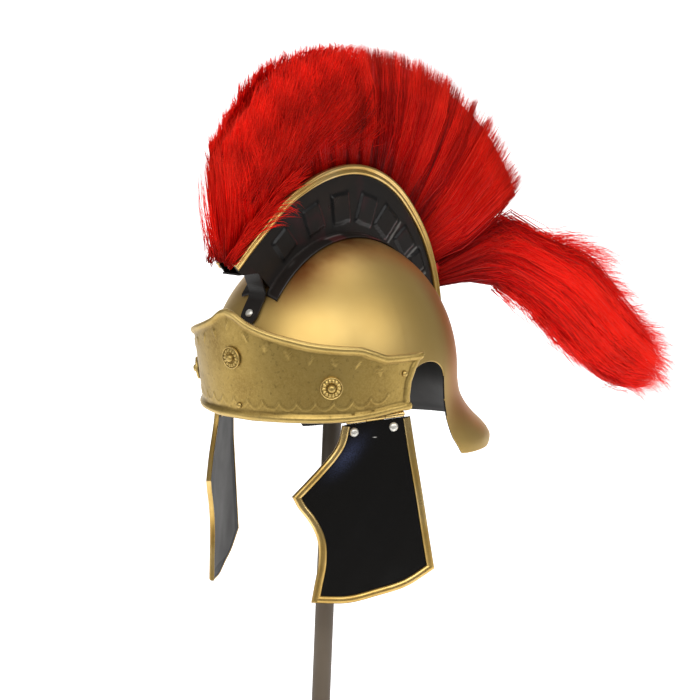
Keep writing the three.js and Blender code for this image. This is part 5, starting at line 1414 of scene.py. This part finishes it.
# Loose hairs of the tail, on both sides: name, roots, tips, bow, count, step of the seed and spread
TAIL_LOOSE = [
    ('fly', [(8, 300, 462), (8, 322, 452), (8, 350, 438), (8, 385, 415)],
     [(7, 400, 452), (7, 430, 438), (6, 452, 424), (6, 462, 396)], (0, 6, 7), 170, 0, 6.5),
    ('side', [(9, 350, 425), (9, 380, 400), (8, 412, 375), (8, 436, 350)],
     [(5, 450, 412), (5, 478, 384), (4, 500, 362), (3, 522, 338)], (0, 7, 6), 230, 10, 7.0),
    ('end', [(5, 430, 368), (5, 447, 350), (4, 460, 336), (4, 452, 326), (4, 440, 318)],
     [(3, 516, 342), (3, 538, 325), (2, 544, 308), (2, 540, 286), (2, 508, 284)], (0, 3, 4), 300, 20, 7.5),
    ('low', [(6, 256, 425), (6, 286, 412), (6, 318, 390), (6, 350, 366)],
     [(5, 300, 398), (5, 330, 376), (5, 362, 350), (5, 400, 325)], (0, 2, -2), 160, 30, 4.0)]
for seed, side in ((33, 1), (34, -1)):
    for kind, roots, ends, bow, number, later, spread in TAIL_LOOSE:
        loose_hair(f'hair_tail_{kind}_{seed}', [(side * x, y, z) for x, y, z in roots],
                   [(side * x, y, z) for x, y, z in ends], bow, hairs(number), seed + later, spread, 0.3)
loose_hair('hair_front_stray', [(5, -134, 490), (0, -138, 500), (-5, -134, 490)],
           [(4, -147, 556), (0, -151, 574), (-4, -143, 530)], (0, -4, 0), 60, 35, 3.5, 0.26)

# Stage, light and camera
VIEW_AZIMUTH, VIEW_ELEVATION, VIEW_DISTANCE = math.radians(43), math.radians(9), 3.0
FOCAL_PIXELS, FRAME_PIXELS, SENSOR = 3210, 700, 36
SWEEP_HALF_WIDTH, SWEEP_TOP = 1.7, 2.6

mesh = bpy.data.meshes.new('sweep')
bend = np.linspace(0.1, math.pi / 2, 14)
depths = np.concatenate([np.linspace(-0.5, 2.0, 10), 2.0 + 1.0 * np.sin(bend)])
heights = np.concatenate([np.zeros(10), 1.0 - 1.0 * np.cos(bend)])
depths, heights = np.append(depths, depths[-1]), np.append(heights, SWEEP_TOP)
right_v = np.array([math.cos(VIEW_AZIMUTH), math.sin(VIEW_AZIMUTH)])
back_v = np.array([-math.sin(VIEW_AZIMUTH), math.cos(VIEW_AZIMUTH)])
sv = [[*(right_v * x + back_v * d), h - 0.0005] for d, h in zip(depths, heights)
      for x in (-SWEEP_HALF_WIDTH, SWEEP_HALF_WIDTH)]
mesh.from_pydata(sv, [], [(2 * i, 2 * i + 1, 2 * i + 3, 2 * i + 2) for i in range(len(depths) - 1)])
mesh.polygons.foreach_set('use_smooth', [True] * len(mesh.polygons))
white, tree, bsdf = new_material('white_sweep')
for key, value in (('Base Color', (0.8, 0.8, 0.8, 1)), ('Roughness', 0.9),
                   ('Emission Color', (1, 1, 1, 1)), ('Emission Strength', 0.95)):
    bsdf.inputs[key].default_value = value
mesh.materials.append(white)
sweep = add_object('sweep', mesh)

world = bpy.data.worlds.new('studio')
bpy.context.scene.world = world
world.use_nodes = True
background = world.node_tree.nodes['Background']
background.inputs[0].default_value = (1, 0.98, 0.96, 1)
background.inputs[1].default_value = 0.19

target = Vector((0.0123, 0.02997, 0.388))
back = Vector((math.sin(VIEW_AZIMUTH) * math.cos(VIEW_ELEVATION),
               -math.cos(VIEW_AZIMUTH) * math.cos(VIEW_ELEVATION), math.sin(VIEW_ELEVATION)))
right3 = Vector((math.cos(VIEW_AZIMUTH), math.sin(VIEW_AZIMUTH), 0))


def area_light(name, right, towards, up, size, power):
    """Soft light placed from the target, as the camera sees right and up, and aimed at it."""
    light = bpy.data.lights.new(name, 'AREA')
    light.shape = 'RECTANGLE'
    light.size, light.size_y = size
    light.energy = power
    obj = add_object(name, light)
    obj.location = (target + right3 * right + Vector((back.x, back.y, 0)).normalized() * towards
                    + Vector((0, 0, 1)) * up)
    obj.rotation_euler = (target - obj.location).to_track_quat('-Z', 'Y').to_euler()


area_light('key', -0.1, 1.6, 1.15, (2.4, 1.3), 31)
area_light('left', -1.6, 0.6, 0.5, (0.8, 1.4), 3.5)
area_light('right', 1.5, 0.9, 0.9, (0.8, 1.2), 9)
area_light('top', 0.1, -0.2, 1.7, (1.6, 1.0), 9)

camera = add_object('camera', bpy.data.cameras.new('camera'))
camera.data.sensor_width = SENSOR
camera.data.sensor_fit = 'HORIZONTAL'
camera.data.lens = FOCAL_PIXELS / FRAME_PIXELS * SENSOR
camera.data.clip_end = 50
camera.location = target + back * VIEW_DISTANCE
camera.rotation_euler = (-back).to_track_quat('-Z', 'Y').to_euler()
bpy.context.scene.camera = camera
bpy.context.scene.view_settings.view_transform = 'Standard'
bpy.context.scene.view_settings.look = 'None'
